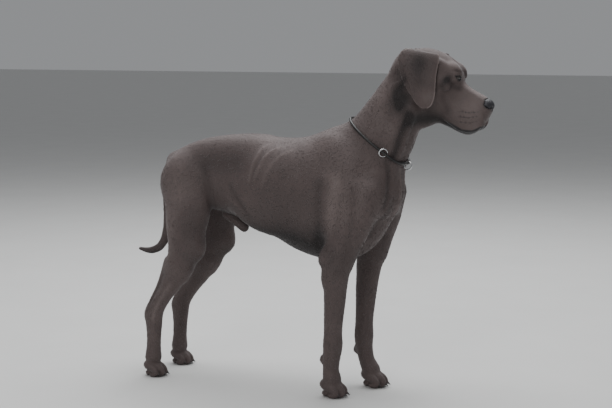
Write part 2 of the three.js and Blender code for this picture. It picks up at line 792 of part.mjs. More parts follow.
const body = fused(
  [trunk, 1],
  [ribcage, 40],
  [loin, 26],
  [breast, 34],
  [breastSide, 26],
  [neck, 54],
  [crest, 26],
  [throatCord, 22],
  [shoulder(RIGHT, 0), 40],
  [shoulder(LEFT, 30), 40],
  [rightFore, 22],
  [leftFore, 22],
  [hindquarter(RIGHT, 0, 0), 26],
  [hindquarter(LEFT, 8, -6), 26],
  [tail, 18],
  [sheath, 12],
);
const flesh = fused(
  [body, 1],
  [placed(face, headFrame), 24],
);
const headFlesh = fused(
  [face, 1],
  [placed(body, bodyFrame), 24],
);
const pawFlesh = (x, y, size, pad) =>
  fused([body, 1], [foot(x, y, size), 9], ...(pad ? [[stopperPad(...pad), 6]] : []));

// Parts
const group = new THREE.Group();
function add(name, solid, finish) {
  const mesh = new THREE.Mesh(geometryOf(solid), finish);
  mesh.name = name;
  group.add(mesh);
  return solid;
}

// Cutting planes, each with the part that it ends on the side its normal leaves behind
const plane = (point, normal) => ({ point, normal });
const within = (solid, planes) =>
  planes.reduce((rest, p) => rest.intersect(blockBehind(shifted(p.point, p.normal, -SEAM / 2), p.normal)), solid);
const without = (solid, planes) => {
  const blocks = planes.map((p) => blockBehind(shifted(p.point, p.normal, SEAM / 2), p.normal));
  return solid.subtract(blocks.reduce((all, block) => all.intersect(block)));
};
const turned = (p) => ({ point: p.point, normal: p.normal.map((v) => -v) });

const chestEnd = plane([70, 0, 700], [1, 0, 0.12]);
const neckBase = plane([454, 0, 800], [-0.6, 0, -0.8]);
const headBase = plane([30, 0, -70], [-0.78, 0, -0.62]);
const headBaseAt = plane(
  new THREE.Vector3(...headBase.point).applyMatrix4(headFrame).toArray(),
  new THREE.Vector3(...headBase.normal).transformDirection(headFrame).toArray(),
);
const ground = plane([0, 0, 0], [0, 0, -1]);
const legTop = (side, shift) => [
  plane([380 + shift, side * 108, 0.545 * WITHERS], [0, side * -0.42, 0.9]),
  plane([380, side * 57, 0], [0, -side, 0]),
];
const wrist = (x) => plane([x, 0, 70], [0.1, 0, 1]);
const hip = (side) => [
  plane([-180, 0, 602], [0.24, 0, 0.97]),
  plane([0, side * 20, 0], [0, -side, 0]),
  plane([-50, 0, 560], [1, 0, 0.1]),
];
const stifle = plane([-203, 0, 388], [0.4, 0, 0.91]);
const hindWrist = plane([-315, 0, 62], [0, 0, 1]);
const tailRoot = [
  plane([-286, 0, 700], [1, 0, 0.12]),
  plane([0, 46, 0], [0, 1, 0]),
  plane([0, -46, 0], [0, -1, 0]),
];

const line = gridLine;
const skinOf = (field, xs, ys, zs, bend) => solidOf(thinned(skinned(field, xs, ys, zs), bend));

// One skin from the tail to the throat and down to the wrists, split into its parts
const trunkSkin = skinOf(flesh, line(-450, 764, 14.5), line(-178, 178, 14), line(44, 1186, 14.5), 1.05);
const withoutLegs = [legTop(RIGHT, 0), legTop(LEFT, 30), hip(RIGHT), hip(LEFT), tailRoot, [neckBase]].reduce(
  (rest, planes) => without(rest, planes),
  trunkSkin,
);
add("chest", largestOf(within(withoutLegs, [turned(chestEnd)])), coat);
add("rump", largestOf(within(withoutLegs, [chestEnd])), coat);
add("tail", largestOf(without(within(trunkSkin, tailRoot), [plane([0, 0, 396], [0, 0, 1])])), coat);
for (const [side, word, shift] of [
  [RIGHT, "right", 0],
  [LEFT, "left", 30],
]) {
  const fore = within(without(trunkSkin, [wrist(365 + shift)]), legTop(side, shift));
  add(`foreleg_${word}`, largestOf(within(fore, [plane([150, 0, 0], [-1, 0, 0])])), coat);
  const hind = without(within(trunkSkin, [plane([-50, 0, 560], [1, 0, 0.1])]), [hindWrist]);
  add(`thigh_${word}`, largestOf(within(without(without(hind, [stifle]), tailRoot), hip(side))), coat);
  add(`hind_leg_${word}`, largestOf(within(hind, [stifle, hip(side)[1], plane([0, 0, 450], [0, 0, 1])])), coat);
}

// Feet and claws
function clawOf(x, y, z, size, grow) {
  const stations = [
    [0, 0, 5],
    [10, -3, 4.2],
    [17, -9, 1.5],
  ];
  const sides = 5;
  const points = [];
  for (const [ahead, up, r] of stations)
    for (let n = 0; n < sides; n++) {
      const turn = ((n + 0.5) / sides) * 2 * Math.PI;
      points.push(
        x + size * ahead + (ahead > 16 ? grow : ahead === 0 ? -grow : 0),
        y + (r * 0.8 * size + grow) * Math.cos(turn),
        z + size * up + (r * size + grow) * Math.sin(turn),
      );
    }
  const faces = [];
  for (let i = 0; i < stations.length - 1; i++)
    for (let n = 0; n < sides; n++) {
      const [a, b] = [i * sides + n, i * sides + ((n + 1) % sides)];
      faces.push(a, b, b + sides, a, b + sides, a + sides);
    }
  const last = (stations.length - 1) * sides;
  for (let n = 1; n < sides - 1; n++) {
    faces.push(0, n + 1, n);
    faces.push(last, last + n, last + n + 1);
  }
  const surface = new THREE.BufferGeometry();
  surface.setAttribute("position", new THREE.Float32BufferAttribute(points, 3));
  return solidOf(surface.setIndex(faces));
}
function addFoot(name, [x, y], size, top, pad) {
  const skin = skinOf(
    pawFlesh(x, y, size, pad),
    line(x - 62 * size, x + 68 * size, 5.4),
    line(y - 56 * size, y + 56 * size, 4.8),
    line(-8, 100 * size, 5.4),
    0.76,
  );
  let paw = within(within(skin, [top]), [plane([0, 0, -SEAM / 2], [0, 0, -1])]);
  TOES.forEach((toe, n) => {
    const at = [x + size * (toe.ahead + 38 * toe.size), y + size * toe.out, 17 * size * toe.size];
    paw = paw.subtract(clawOf(...at, size, SEAM));
    add(`${name}_claw_${n + 1}`, clawOf(...at, size, 0), clawHorn);
  });
  add(name, largestOf(paw), coat);
}
addFoot("forepaw_right", RIGHT_FORE_FOOT, FRONT_FOOT, wrist(365), [324, -94]);
addFoot("forepaw_left", LEFT_FORE_FOOT, FRONT_FOOT, wrist(395), [366, 89]);
addFoot("hind_paw_right", RIGHT_HIND_FOOT, HIND_FOOT, hindWrist);
addFoot("hind_paw_left", LEFT_HIND_FOOT, HIND_FOOT, hindWrist);

// Head: the skin, less the mouth, the eyes and the nose that sit in it, with lids laid round each eye
const HEAD_X = fineLine(-66, 155, 206, 334, 8, 5);
const HEAD_Y = line(-86, 86, 7);
const HEAD_Z = fineLine(-268, 0, 56, 92, 8, 5);
const headSkin = skinOf(headFlesh, HEAD_X, HEAD_Y, HEAD_Z, 0.86);
const JAW_FRONT = plane([206, 0, 0], [-1, 0, 0]);
const jawShape = (grow) =>
  skinOf((x, y, z) => chin(x, y, z) - grow, line(184, 336, 8), line(-44, 44, 7), line(-146, -52, 7), 0.6);
const noseShape = (grow) =>
  skinOf((x, y, z) => nosePad(x, y, z) - grow, line(270, 334, 3.4), line(-32, 32, 2.9), line(-36, 20, 3), 0.34);
const eyeBall = (grow, side) => {
  const ball = new THREE.SphereGeometry(EYE_R + grow, 14, 8);
  ball.rotateX(Math.PI / 2);
  ball.translate(EYE[0], side * Math.abs(EYE[1]), EYE[2]);
  return solidOf(ball);
};

// A lid is a bent roll of skin that lies on the eyeball from corner to corner.
function lid(side, opening, depth, thick) {
  const look = GAZE.clone();
  look.y = side * Math.abs(look.y);
  const across = new THREE.Vector3(0, 0, 1).cross(look).normalize();
  const up = look.clone().cross(across).normalize();
  const arc = [];
  for (let n = 0; n <= 6; n++) {
    const t = -1 + (2 * n) / 6;
    const spot = look
      .clone()
      .multiplyScalar(depth)
      .addScaledVector(across, 12.5 * t)
      .addScaledVector(up, opening * (1 - t * t) - 0.8);
    spot.setLength(EYE_R + 1.2);
    arc.push(spot.add(new THREE.Vector3(EYE[0], side * Math.abs(EYE[1]), EYE[2])));
  }
  const curve = new THREE.CatmullRomCurve3(arc);
  return tubeOf(curve, 8, thick, 5);
}

// A round bar along an open curve, closed at both ends, or along a closed one
function tubeOf(curve, steps, radius, sides, closed = false) {
  const frames = curve.computeFrenetFrames(steps, closed);
  const rings = closed ? steps : steps + 1;
  const points = [];
  for (let i = 0; i < rings; i++) {
    const centre = curve.getPointAt(i / steps);
    for (let n = 0; n < sides; n++) {
      const turn = (n / sides) * 2 * Math.PI;
      const r = typeof radius === "function" ? radius(i / steps) : radius;
      const out = frames.normals[i]
        .clone()
        .multiplyScalar(r * Math.cos(turn))
        .addScaledVector(frames.binormals[i], r * Math.sin(turn));
      points.push(...centre.clone().add(out).toArray());
    }
  }
  const faces = [];
  const spans = closed ? rings : rings - 1;
  for (let i = 0; i < spans; i++)
    for (let n = 0; n < sides; n++) {
      const [a, b] = [i * sides + n, i * sides + ((n + 1) % sides)];
      const [c, d] = [a, b].map((v) => (v + sides) % (rings * sides));
      faces.push(a, b, d, a, d, c);
    }
  if (!closed)
    for (let n = 1; n < sides - 1; n++) {
      const last = (rings - 1) * sides;
      faces.push(0, n + 1, n);
      faces.push(last, last + n, last + n + 1);
    }
  const surface = new THREE.BufferGeometry();
  surface.setAttribute("position", new THREE.Float32BufferAttribute(points, 3));
  const solid = solidOf(surface.setIndex(faces));
  if (solid.volume() > 0) return solid;
  surface.setIndex(faces.reverse());
  return solidOf(surface);
}

const EYE_CORE = (side) => mass([EYE[0], side * Math.abs(EYE[1]), EYE[2]], [EYE_R + 0.4, EYE_R + 0.4, EYE_R + 0.4]);
let head = within(headSkin, [headBase]);
for (const side of [RIGHT, LEFT]) {
  head = head.add(lid(side, 6.4, 8.5, 3.6));
  head = head.add(lid(side, 10.5, 6.5, 3.6));
  head = head.add(lid(side, -6, 8.5, 3));
  head = head.add(lid(side, -10, 6.5, 3.4));
}
head = head.subtract(within(jawShape(0.9).add(jawShape(0)), [plane([205.6, 0, 0], [-1, 0, 0])]));
head = head.subtract(noseShape(2 * SEAM).add(noseShape(0)));
for (const side of [RIGHT, LEFT]) head = head.subtract(eyeBall(SEAM, side));
head = largestOf(head);
add("head", head.transform(headFrame.elements), coat);
add("jaw", largestOf(within(jawShape(0), [JAW_FRONT])).transform(headFrame.elements), coat);
add("nose", largestOf(noseShape(0)).transform(headFrame.elements), noseSkin);
add("eye_right", eyeBall(0, RIGHT).transform(headFrame.elements), eyeGloss);
add("eye_left", eyeBall(0, LEFT).transform(headFrame.elements), eyeGloss);

// Ears: rows from the root over the fold to the tip, each from the back edge to the front edge:
// back x and z, front x and z, distance from the midline, and how far the edges curl in
const EAR_ROWS = [
  [14, 26, 86, 42, 46, 4],
  [-1, 21, 93, 54, 60, 7],
  [-9, 2, 101, 57, 70, 10],
  [2, -28, 111, 46, 79, 13],
  [30, -54, 122, 19, 85, 13],
  [58, -74, 133, -5, 88, 11],
  [88, -90, 147, -32, 88, 8],
  [116, -103, 158, -58, 86, 5],
  [136, -109, 162, -84, 83, 3],
  [145, -108, 158, -98, 81, 1],
];
const EAR_THICK = [9, 8, 7, 6.5, 6, 5.5, 5, 5, 4.5, 4];
function ear(side) {
  const rows = smoothRows(EAR_ROWS.map((row, n) => [...row, EAR_THICK[n]]), 2);
  const across = 5;
  const middle = rows.map(([bx, bz, fx, fz, out, curl]) =>
    Array.from({ length: across }, (_, n) => {
      const t = n / (across - 1);
      const bow = (2 * t - 1) ** 2;
      return new THREE.Vector3(bx + (fx - bx) * t, -(out - curl * bow), bz + (fz - bz) * t);
    }),
  );
  const points = [];
  const normals = middle.map((row, i) =>
    row.map((_, n) => {
      const along = middle[Math.min(i + 1, rows.length - 1)][n].clone().sub(middle[Math.max(i - 1, 0)][n]);
      const over = row[Math.min(n + 1, across - 1)].clone().sub(row[Math.max(n - 1, 0)]);
      return over.cross(along).normalize();
    }),
  );
  for (const face of [1, -1])
    middle.forEach((row, i) =>
      row.forEach((p, n) => {
        const rim = n === 0 || n === across - 1 || i === rows.length - 1 ? 0.55 : 1;
        const half = (rows[i][6] / 2) * rim;
        const q = p.clone().addScaledVector(normals[i][n], face * half);
        points.push(q.x, side * -q.y, q.z);
      }),
    );
  const faces = [];
  const count = rows.length * across;
  const at = (f, i, n) => f * count + i * across + n;
  for (let i = 0; i < rows.length - 1; i++)
    for (let n = 0; n < across - 1; n++) {
      faces.push(at(0, i, n), at(0, i, n + 1), at(0, i + 1, n + 1), at(0, i, n), at(0, i + 1, n + 1), at(0, i + 1, n));
      faces.push(at(1, i, n), at(1, i + 1, n + 1), at(1, i, n + 1), at(1, i, n), at(1, i + 1, n), at(1, i + 1, n + 1));
    }
  const wall = (a, b) => {
    const [p, q, r, s] = [at(0, ...a), at(0, ...b), at(1, ...b), at(1, ...a)];
    faces.push(p, s, r, p, r, q);
  };
  for (let n = 0; n < across - 1; n++) {
    wall([0, n], [0, n + 1]);
    wall([rows.length - 1, n + 1], [rows.length - 1, n]);
  }
  for (let i = 0; i < rows.length - 1; i++) {
    wall([i + 1, 0], [i, 0]);
    wall([i, across - 1], [i + 1, across - 1]);
  }
  const surface = new THREE.BufferGeometry();
  surface.setAttribute("position", new THREE.Float32BufferAttribute(points, 3));
  const made = solidOf(surface.setIndex(faces));
  if (made.volume() > 0) return made;
  return solidOf(surface.setIndex(faces.reverse()));
}
const headRoom = skinOf((x, y, z) => headFlesh(x, y, z) - 1.2, HEAD_X, HEAD_Y, HEAD_Z, 0.86).add(headSkin);
for (const [side, word] of [[RIGHT, "right"], [LEFT, "left"]])
  add(`ear_${word}`, largestOf(ear(side).subtract(headRoom)).transform(headFrame.elements), coat);

// Collar: a round leather cord that lies on the neck, with a steel ring at each end of its run
const COLLAR_POINT = new THREE.Vector3(476, 4, 838);
const COLLAR_NORMAL = new THREE.Vector3(0.6, 0, 0.8);
const CORD_R = 4.2;
const collarFore = new THREE.Vector3(0.8, 0, -0.6);
const onNeck = (turn, lift) => {
  const out = collarFore
    .clone()
    .multiplyScalar(Math.cos(turn))
    .addScaledVector(new THREE.Vector3(0, 1, 0), Math.sin(turn));
  let near = 20;
  let far = 220;
  for (let n = 0; n < 40; n++) {
    const half = (near + far) / 2;
    if (flesh(...COLLAR_POINT.clone().addScaledVector(out, half).toArray()) < lift) near = half;
    else far = half;
  }
  return COLLAR_POINT.clone().addScaledVector(out, near);
};
const loop = Array.from({ length: 28 }, (_, n) => onNeck((n / 28) * 2 * Math.PI, CORD_R + 0.5));
const cord = (grow) => tubeOf(new THREE.CatmullRomCurve3(loop, true), 34, CORD_R + grow, 7, true);
const RING_R = 13.3;
const RING_BAR = 2.2;
function ringAt(turn, standing, grow) {
  const centre = onNeck(turn, CORD_R + 0.5);
  const outward = onNeck(turn, CORD_R + 20).sub(centre).normalize();
  const onward = onNeck(turn + 0.05, CORD_R + 0.5).sub(onNeck(turn - 0.05, CORD_R + 0.5)).normalize();
  const facing = standing ? onward : outward;
  if (standing) centre.addScaledVector(outward, RING_R - 4);
  const ring = new THREE.TorusGeometry(RING_R, RING_BAR + grow, 5, 18);
  ring.applyQuaternion(new THREE.Quaternion().setFromUnitVectors(new THREE.Vector3(0, 0, 1), facing));
  ring.translate(...centre.toArray());
  return solidOf(ring);
}
const SIDE_RING = -0.9;
const FRONT_RING = -0.04;
let band = cord(0);
let neckSkin = without(within(trunkSkin, [neckBase]), [headBaseAt]);
neckSkin = neckSkin.subtract(cord(SEAM));
for (const [turn, standing, name] of [
  [SIDE_RING, false, "collar_ring_side"],
  [FRONT_RING, true, "collar_ring_front"],
]) {
  neckSkin = neckSkin.subtract(ringAt(turn, standing, SEAM));
  band = band.subtract(ringAt(turn, standing, SEAM));
  add(name, ringAt(turn, standing, 0), steel);
}
add("neck", largestOf(neckSkin), coat);
add("collar", largestOf(band), leather);

// The origin is under the middle of the dog, on the floor.
const bounds = new THREE.Box3().setFromObject(group);
const middle = bounds.getCenter(new THREE.Vector3());
for (const mesh of group.children) mesh.geometry.translate(-middle.x, -middle.y, -bounds.min.z);
export default group;
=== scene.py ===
import math

import bmesh
import bpy
import numpy as np
from mathutils import Matrix, Vector
from mathutils.bvhtree import BVHTree


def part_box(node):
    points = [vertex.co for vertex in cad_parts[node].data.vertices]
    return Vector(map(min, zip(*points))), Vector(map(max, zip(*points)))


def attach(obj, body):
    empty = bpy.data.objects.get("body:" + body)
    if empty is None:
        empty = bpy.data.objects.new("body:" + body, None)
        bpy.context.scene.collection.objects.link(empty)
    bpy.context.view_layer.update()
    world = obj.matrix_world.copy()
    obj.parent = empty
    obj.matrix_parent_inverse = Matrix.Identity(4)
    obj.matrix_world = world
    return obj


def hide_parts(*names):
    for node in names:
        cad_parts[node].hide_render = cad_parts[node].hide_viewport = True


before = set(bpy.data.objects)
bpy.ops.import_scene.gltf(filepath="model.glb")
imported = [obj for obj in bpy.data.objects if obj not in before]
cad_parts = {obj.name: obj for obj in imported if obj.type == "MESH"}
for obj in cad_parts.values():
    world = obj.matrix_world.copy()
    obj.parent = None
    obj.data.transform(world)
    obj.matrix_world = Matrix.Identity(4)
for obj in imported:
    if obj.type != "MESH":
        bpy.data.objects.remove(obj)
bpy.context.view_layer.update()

# ---- Where the dog stands
# The shapes below are in millimetres from the middle of the body, with +X to the nose, +Y to the
# dog's left and +Z up. The right eye's known place says how far that frame is from the parts'.
HEAD_AT = Vector((571.6, 15.8, 1109.8))
HEAD_TURN = Matrix.Rotation(math.radians(4), 3, "Z") @ Matrix.Rotation(math.radians(29), 3, "Y")
EYE = Vector((180.0, -36.5, 24.0))
EYE_RADIUS = 12.5
eye_low, eye_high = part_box("eye_right")
SHIFT = np.array(HEAD_AT + HEAD_TURN @ EYE - 500 * (Vector(eye_low) + Vector(eye_high)))
HEAD_AT, HEAD_TURN, EYE = np.array(HEAD_AT), np.array(HEAD_TURN), np.array(EYE)


def in_metres(points):
    return (np.asarray(points, dtype=float) - SHIFT) / 1000


def in_millimetres(places):
    return np.array(places) * 1000 + SHIFT


def to_head(p):
    return (p - HEAD_AT) @ HEAD_TURN


def from_head(p):
    return p @ HEAD_TURN.T + HEAD_AT


def mirrored(p):
    """Both sides of the dog laid over its right side, where Y is below zero."""
    return np.stack([p[:, 0], -np.abs(p[:, 1]), p[:, 2]], axis=1)


# ---- The flesh
# The body is bone and muscle under thin skin: oval masses and tapering limbs that melt together.
# Each mass tells how far a point is outside its surface, in millimetres, negative inside.
def radial(length, rho):
    return np.where(rho < 1e-6, -1e3, length * (1 - 1 / np.maximum(rho, 1e-6)))


def mass(centre, radii, turns=(0, 0, 0)):
    about_y, about_z, about_x = (math.radians(t) for t in turns)
    turn = Matrix.Rotation(about_z, 3, "Z") @ Matrix.Rotation(about_y, 3, "Y")
    axes = np.array(turn @ Matrix.Rotation(about_x, 3, "X"))
    middle = np.array(centre, dtype=float)

    def far(p):
        d = p - middle
        rho = np.linalg.norm((d @ axes) / np.array(radii, dtype=float), axis=1)
        return radial(np.linalg.norm(d, axis=1), rho)

    return far, middle, max(radii)


def smooth_rows(rows, steps):
    rows = np.array(rows, dtype=float)
    out = []
    for i in range(len(rows) - 1):
        p0, p1, p2, p3 = (rows[min(max(k, 0), len(rows) - 1)] for k in (i - 1, i, i + 1, i + 2))
        for t in np.arange(steps) / steps:
            out.append(
                0.5
                * (
                    2 * p1
                    + (p2 - p0) * t
                    + (2 * p0 - 5 * p1 + 4 * p2 - p3) * t**2
                    + (3 * p1 - p0 - 3 * p2 + p3) * t**3
                )
            )
    out.append(rows[-1])
    return np.array(out)


def limb(rows, steps=5):
    """Rows of x, y, z, radius fore and aft, and radius sideways."""
    stations = smooth_rows(rows, steps)

    def far(p):
        best = np.full(len(p), 1e9)
        for a, b in zip(stations[:-1], stations[1:]):
            along = b[:3] - a[:3]
            length = np.linalg.norm(along)
            along = along / length
            side = np.array([0, 1, 0]) - along * along[1]
            side /= np.linalg.norm(side)
            fore = np.cross(side, along)
            d = p - a[:3]
            run = d @ along
            t = np.clip(run / length, 0, 1)
            u = d @ fore
            v = d @ side
            w = run - t * length
            deep = a[3] + (b[3] - a[3]) * t
            wide = a[4] + (b[4] - a[4]) * t
            rho = np.sqrt((u / deep) ** 2 + (v / wide) ** 2 + (2 * w / (deep + wide)) ** 2)
            best = np.minimum(best, radial(np.sqrt(u * u + v * v + w * w), rho))
        return best

    low, high = stations[:, :3].min(0), stations[:, :3].max(0)
    return far, (low + high) / 2, np.linalg.norm(high - low) / 2 + np.array(rows, dtype=float)[:, 3:].max()


def barrel(rows, cap_rear, cap_front, steps=4):
    """Rows of x, top, widest level, bottom, half width and squareness, along X."""
    s = smooth_rows(rows, steps)

    def far(p):
        inside = np.clip(p[:, 0], s[0, 0], s[-1, 0])
        top, widest, bottom, half, square = (np.interp(inside, s[:, 0], s[:, c]) for c in range(1, 6))
        beyond = p[:, 0] - inside
        cap = np.where(beyond < 0, cap_rear, cap_front)
        up = p[:, 2] - widest
        rise = np.where(up > 0, up / (top - widest), -up / (widest - bottom))
        section = (np.abs(p[:, 1] / half) ** square + np.abs(rise) ** square) ** (1 / square)
        length = np.sqrt(beyond**2 + p[:, 1] ** 2 + up**2)
        return radial(length, np.hypot(section, beyond / cap))

    high, low = s[:, 1].max(), s[:, 3].min()
    centre = np.array([(s[0, 0] + s[-1, 0]) / 2, 0, (high + low) / 2])
    reach = math.hypot((s[-1, 0] - s[0, 0]) / 2 + max(cap_rear, cap_front), (high - low) / 2)
    return far, centre, reach + s[:, 4].max() / 2


def paired(shape):
    """Both sides of the body at once, from a shape on the right side."""
    own, centre, reach = shape
    return lambda p: own(mirrored(p)), centre * (1, 0, 1), reach + abs(centre[1])


def fused(*pairs):
    """Shapes melted together in order, each with its own softness. A negative one carves."""

    def far(p):
        d = np.full(len(p), 1e9)
        for (own, centre, reach), soft in pairs:
            gap = np.linalg.norm(p - centre, axis=1) - reach
            near = gap <= abs(soft) + (d if soft > 0 else -d)
            if not near.any():
                continue
            old = d[near] if soft > 0 else -d[near]
            new = own(p[near])
            step = np.maximum(abs(soft) - np.abs(old - new), 0) / abs(soft)
            melted = np.minimum(old, new) - step * step * abs(soft) * 0.25
            d[near] = melted if soft > 0 else -melted
        return d

    low = np.min([centre - reach for (_, centre, reach), _ in pairs], axis=0)
    high = np.max([centre + reach for (_, centre, reach), _ in pairs], axis=0)
    return far, (low + high) / 2, np.linalg.norm(high - low) / 2


def on_head(shape):
    own, centre, reach = shape
    return lambda p: own(to_head(p)), HEAD_TURN @ centre + HEAD_AT, reach


# Trunk: the back line, the keel of the chest and the tucked belly.
WITHERS = 870.0
BACK = 0.967 * WITHERS
BRISKET = 0.505 * WITHERS
CHEST_HALF = 0.162 * WITHERS
trunk = barrel(
    [
        [-284, 722, 668, 620, 54, 2], [-258, 756, 682, 592, 84, 2.1], [-218, 788, 696, 588, 104, 2.2],
        [-178, 808, 706, 586, 113, 2.2], [-110, 830, 714, 580, 113, 2.2], [-40, BACK, 714, 566, 110, 2.2],
        [40, BACK + 3, 706, 536, 119, 2.2], [125, BACK - 5, 694, 500, 133, 2.15],
        [200, BACK - 4, 682, 463, CHEST_HALF, 2.1], [275, WITHERS - 18, 678, BRISKET + 2, CHEST_HALF - 1, 2.05],
        [345, WITHERS - 6, 676, BRISKET, 130, 2.05], [415, WITHERS - 22, 676, BRISKET + 14, 114, 2.05],
        [476, 806, 684, 500, 90, 2.05], [520, 756, 690, 570, 62, 2], [538, 732, 694, 626, 40, 2],
    ],
    26,
    22,
)
ribcage = paired(mass([150, -78, 655], [165, 52, 130], [-10, 0, 0]))
loin = paired(limb([[-250, -34, 742, 38, 38], [-120, -38, 782, 42, 40], [60, -40, 790, 42, 42]]))
breast = mass([512, 0, 662], [40, 46, 78], [-8, 0, 0])
breast_side = paired(mass([504, -50, 672], [38, 38, 84], [-10, 0, 0]))
sheath = limb([[-80, 0, 566, 15, 15], [-40, 0, 545, 18, 17], [-10, 0, 524, 17, 15]])

# Neck: a long arch, with the throat's two cords and a groove between them and the neck's side.
neck = limb(
    [
        [390, 0, 742, 138, 90], [436, 1, 784, 124, 82], [478, 3, 832, 111, 74], [511, 7, 888, 99, 68],
        [541, 11, 941, 91, 64], [574, 14, 990, 88, 62], [606, 16, 1030, 84, 60],
    ]
)
crest = limb([
    [366, 0, 796, 50, 34], [432, 1, 864, 46, 30], [482, 4, 924, 44, 28],
    [533, 10, 986, 44, 29], [582, 14, 1038, 44, 33],
])
throat_cord = paired(
    limb([[524, -30, 738, 30, 24], [542, -37, 806, 28, 24], [568, -39, 878, 27, 25], [602, -37, 940, 27, 25]])
)


def shoulder(side, forward):
    upper = [
        [478 + 0.3 * forward, side * 88, 668, 52, 46], [450 + 0.5 * forward, side * 100, 596, 56, 48],
        [416 + 0.7 * forward, side * 107, 520, 54, 44], [389 + forward, side * 109, 462, 50, 41],
    ]
    return fused(
        (mass([384 + 0.4 * forward, side * 88, 730], [66, 36, 128], [-33, 0, side * 12]), 1),
        (mass([352 + 0.5 * forward, side * 104, 626], [78, 36, 100], [-25, 0, side * 4]), 40),
        (limb(upper), 36),
    )


def foreleg(side, rows, elbow):
    x, y, z = elbow
    return fused(
        (limb([[r[0], side * r[1], *r[2:]] for r in rows]), 1),
        (mass([x, side * y, z], [20, 19, 30], [24, 0, 0]), 22),
        (mass([x + 18, side * (y - 3), z - 52], [27, 22, 52], [14, 0, 0]), 18),
    )


right_fore = foreleg(
    -1,
    [
        [388, 109, 476, 50, 42], [381, 108, 430, 46, 38], [375, 105, 378, 41, 35], [371, 102, 322, 37, 32],
        [366, 99, 262, 33, 29], [363, 97, 214, 31, 28], [362, 96, 174, 33, 32], [359, 95, 142, 30, 31],
        [356, 94, 116, 28, 28], [354, 93, 88, 27, 28], [358, 93, 58, 30, 34],
    ],
    [344, 121, 463],
)
left_fore = foreleg(
    1,
    [
        [416, 105, 480, 50, 42], [410, 104, 434, 46, 38], [404, 101, 382, 41, 35], [399, 98, 324, 37, 32],
        [396, 95, 264, 33, 29], [394, 93, 214, 31, 28], [394, 91, 174, 33, 32], [395, 90, 142, 30, 31],
        [399, 89, 116, 28, 28], [407, 88, 86, 27, 28], [422, 87, 56, 30, 34],
    ],
    [374, 117, 465],
)


def hindquarter(side, hip_shift, foot_shift):
    def moved(rows):
        shifts = [foot_shift + (hip_shift - foot_shift) * min(max((r[2] - 230) / 330, 0), 1) for r in rows]
        return [[r[0] + shift, side * r[1], *r[2:]] for r, shift in zip(rows, shifts)]

    thigh = [
        [-182, 80, 690, 84, 48], [-176, 89, 610, 86, 52], [-182, 95, 540, 76, 50], [-184, 98, 478, 66, 44],
        [-196, 99, 425, 56, 38], [-216, 99, 372, 45, 34],
    ]
    shank = [
        [-210, 99, 392, 48, 36], [-238, 99, 338, 38, 29], [-267, 99, 292, 29, 25], [-295, 98, 252, 29, 24],
        [-312, 97, 222, 33, 25], [-315, 96, 190, 31, 25], [-316, 95, 150, 27, 23], [-318, 95, 104, 26, 23],
        [-320, 95, 66, 29, 30],
    ]
    tendon = [[-250, 97, 404, 20, 15], [-283, 97, 328, 14, 12], [-313, 97, 270, 12, 11], [-326, 97, 230, 13, 12]]
    return fused(
        (mass([-216 + hip_shift, side * 74, 684], [70, 50, 90], [18, 0, 0]), 1),
        (limb(moved(thigh)), 34),
        (mass([-152 + hip_shift, side * 100, 462], [40, 36, 46], [-20, 0, 0]), 24),
        (limb(moved(shank)), 16),
        (mass([-328 + foot_shift, side * 97, 210], [20, 15, 26], [-14, 0, 0]), 14),
        (limb(moved(tendon)), 16),
    )


tail = limb(
    [
        [-262, 0, 716, 30, 28], [-286, 0, 698, 28, 26], [-301, 0, 662, 25, 24], [-307, 0, 612, 21, 20],
        [-309, 0, 560, 18, 17], [-314, 0, 506, 16, 16], [-327, 0, 462, 15, 15], [-350, 0, 434, 14.5, 14],
        [-386, 0, 421, 12, 12], [-428, 0, 425, 6, 6],
    ]
)

# Feet: four arched toes round a main pad, and a stopper pad behind each wrist.
TOES = [(31, -8, 0.94), (11, 4, 1), (-10.5, 4, 1), (-30.5, -9, 0.92)]
FEET = [(361, -93, 0.95), (432, 87, 0.95), (-314, -96, 0.88), (-320, 96, 0.88)]
stopper_pads = [mass([327, -94, 122], [12, 11, 16], [14, 0, 0]), mass([369, 89, 122], [12, 11, 16], [14, 0, 0])]


def foot(x, y, size):
    masses = [
        (mass([x - 6 * size, y, 38 * size], [42 * size, 36 * size, 24 * size], [10, 0, 0]), 1),
        (mass([x - 17 * size, y, 11 * size], [22 * size, 26 * size, 13 * size]), 8),
        (mass([x + 12 * size, y, 24 * size], [26 * size, 33 * size, 19 * size]), 8),
    ]
    for out, ahead, toe in TOES:
        across, at, r = y + size * out, x + size * ahead, size * toe
        toe_rows = [
            [at - 14 * r, across - 0.3 * size * out, 43 * r, 13 * r, 11 * r],
            [at + 12 * r, across - 0.06 * size * out, 40 * r, 13.5 * r, 12 * r],
            [at + 29 * r, across, 29 * r, 13.5 * r, 12 * r], [at + 35 * r, across, 17 * r, 13 * r, 11 * r],
        ]
        masses.append((limb(toe_rows, 4), 4))
        masses.append((mass([at + 22 * r, across, 10 * r], [20 * r, 11.5 * r, 11 * r]), 4))
    return fused(*masses)


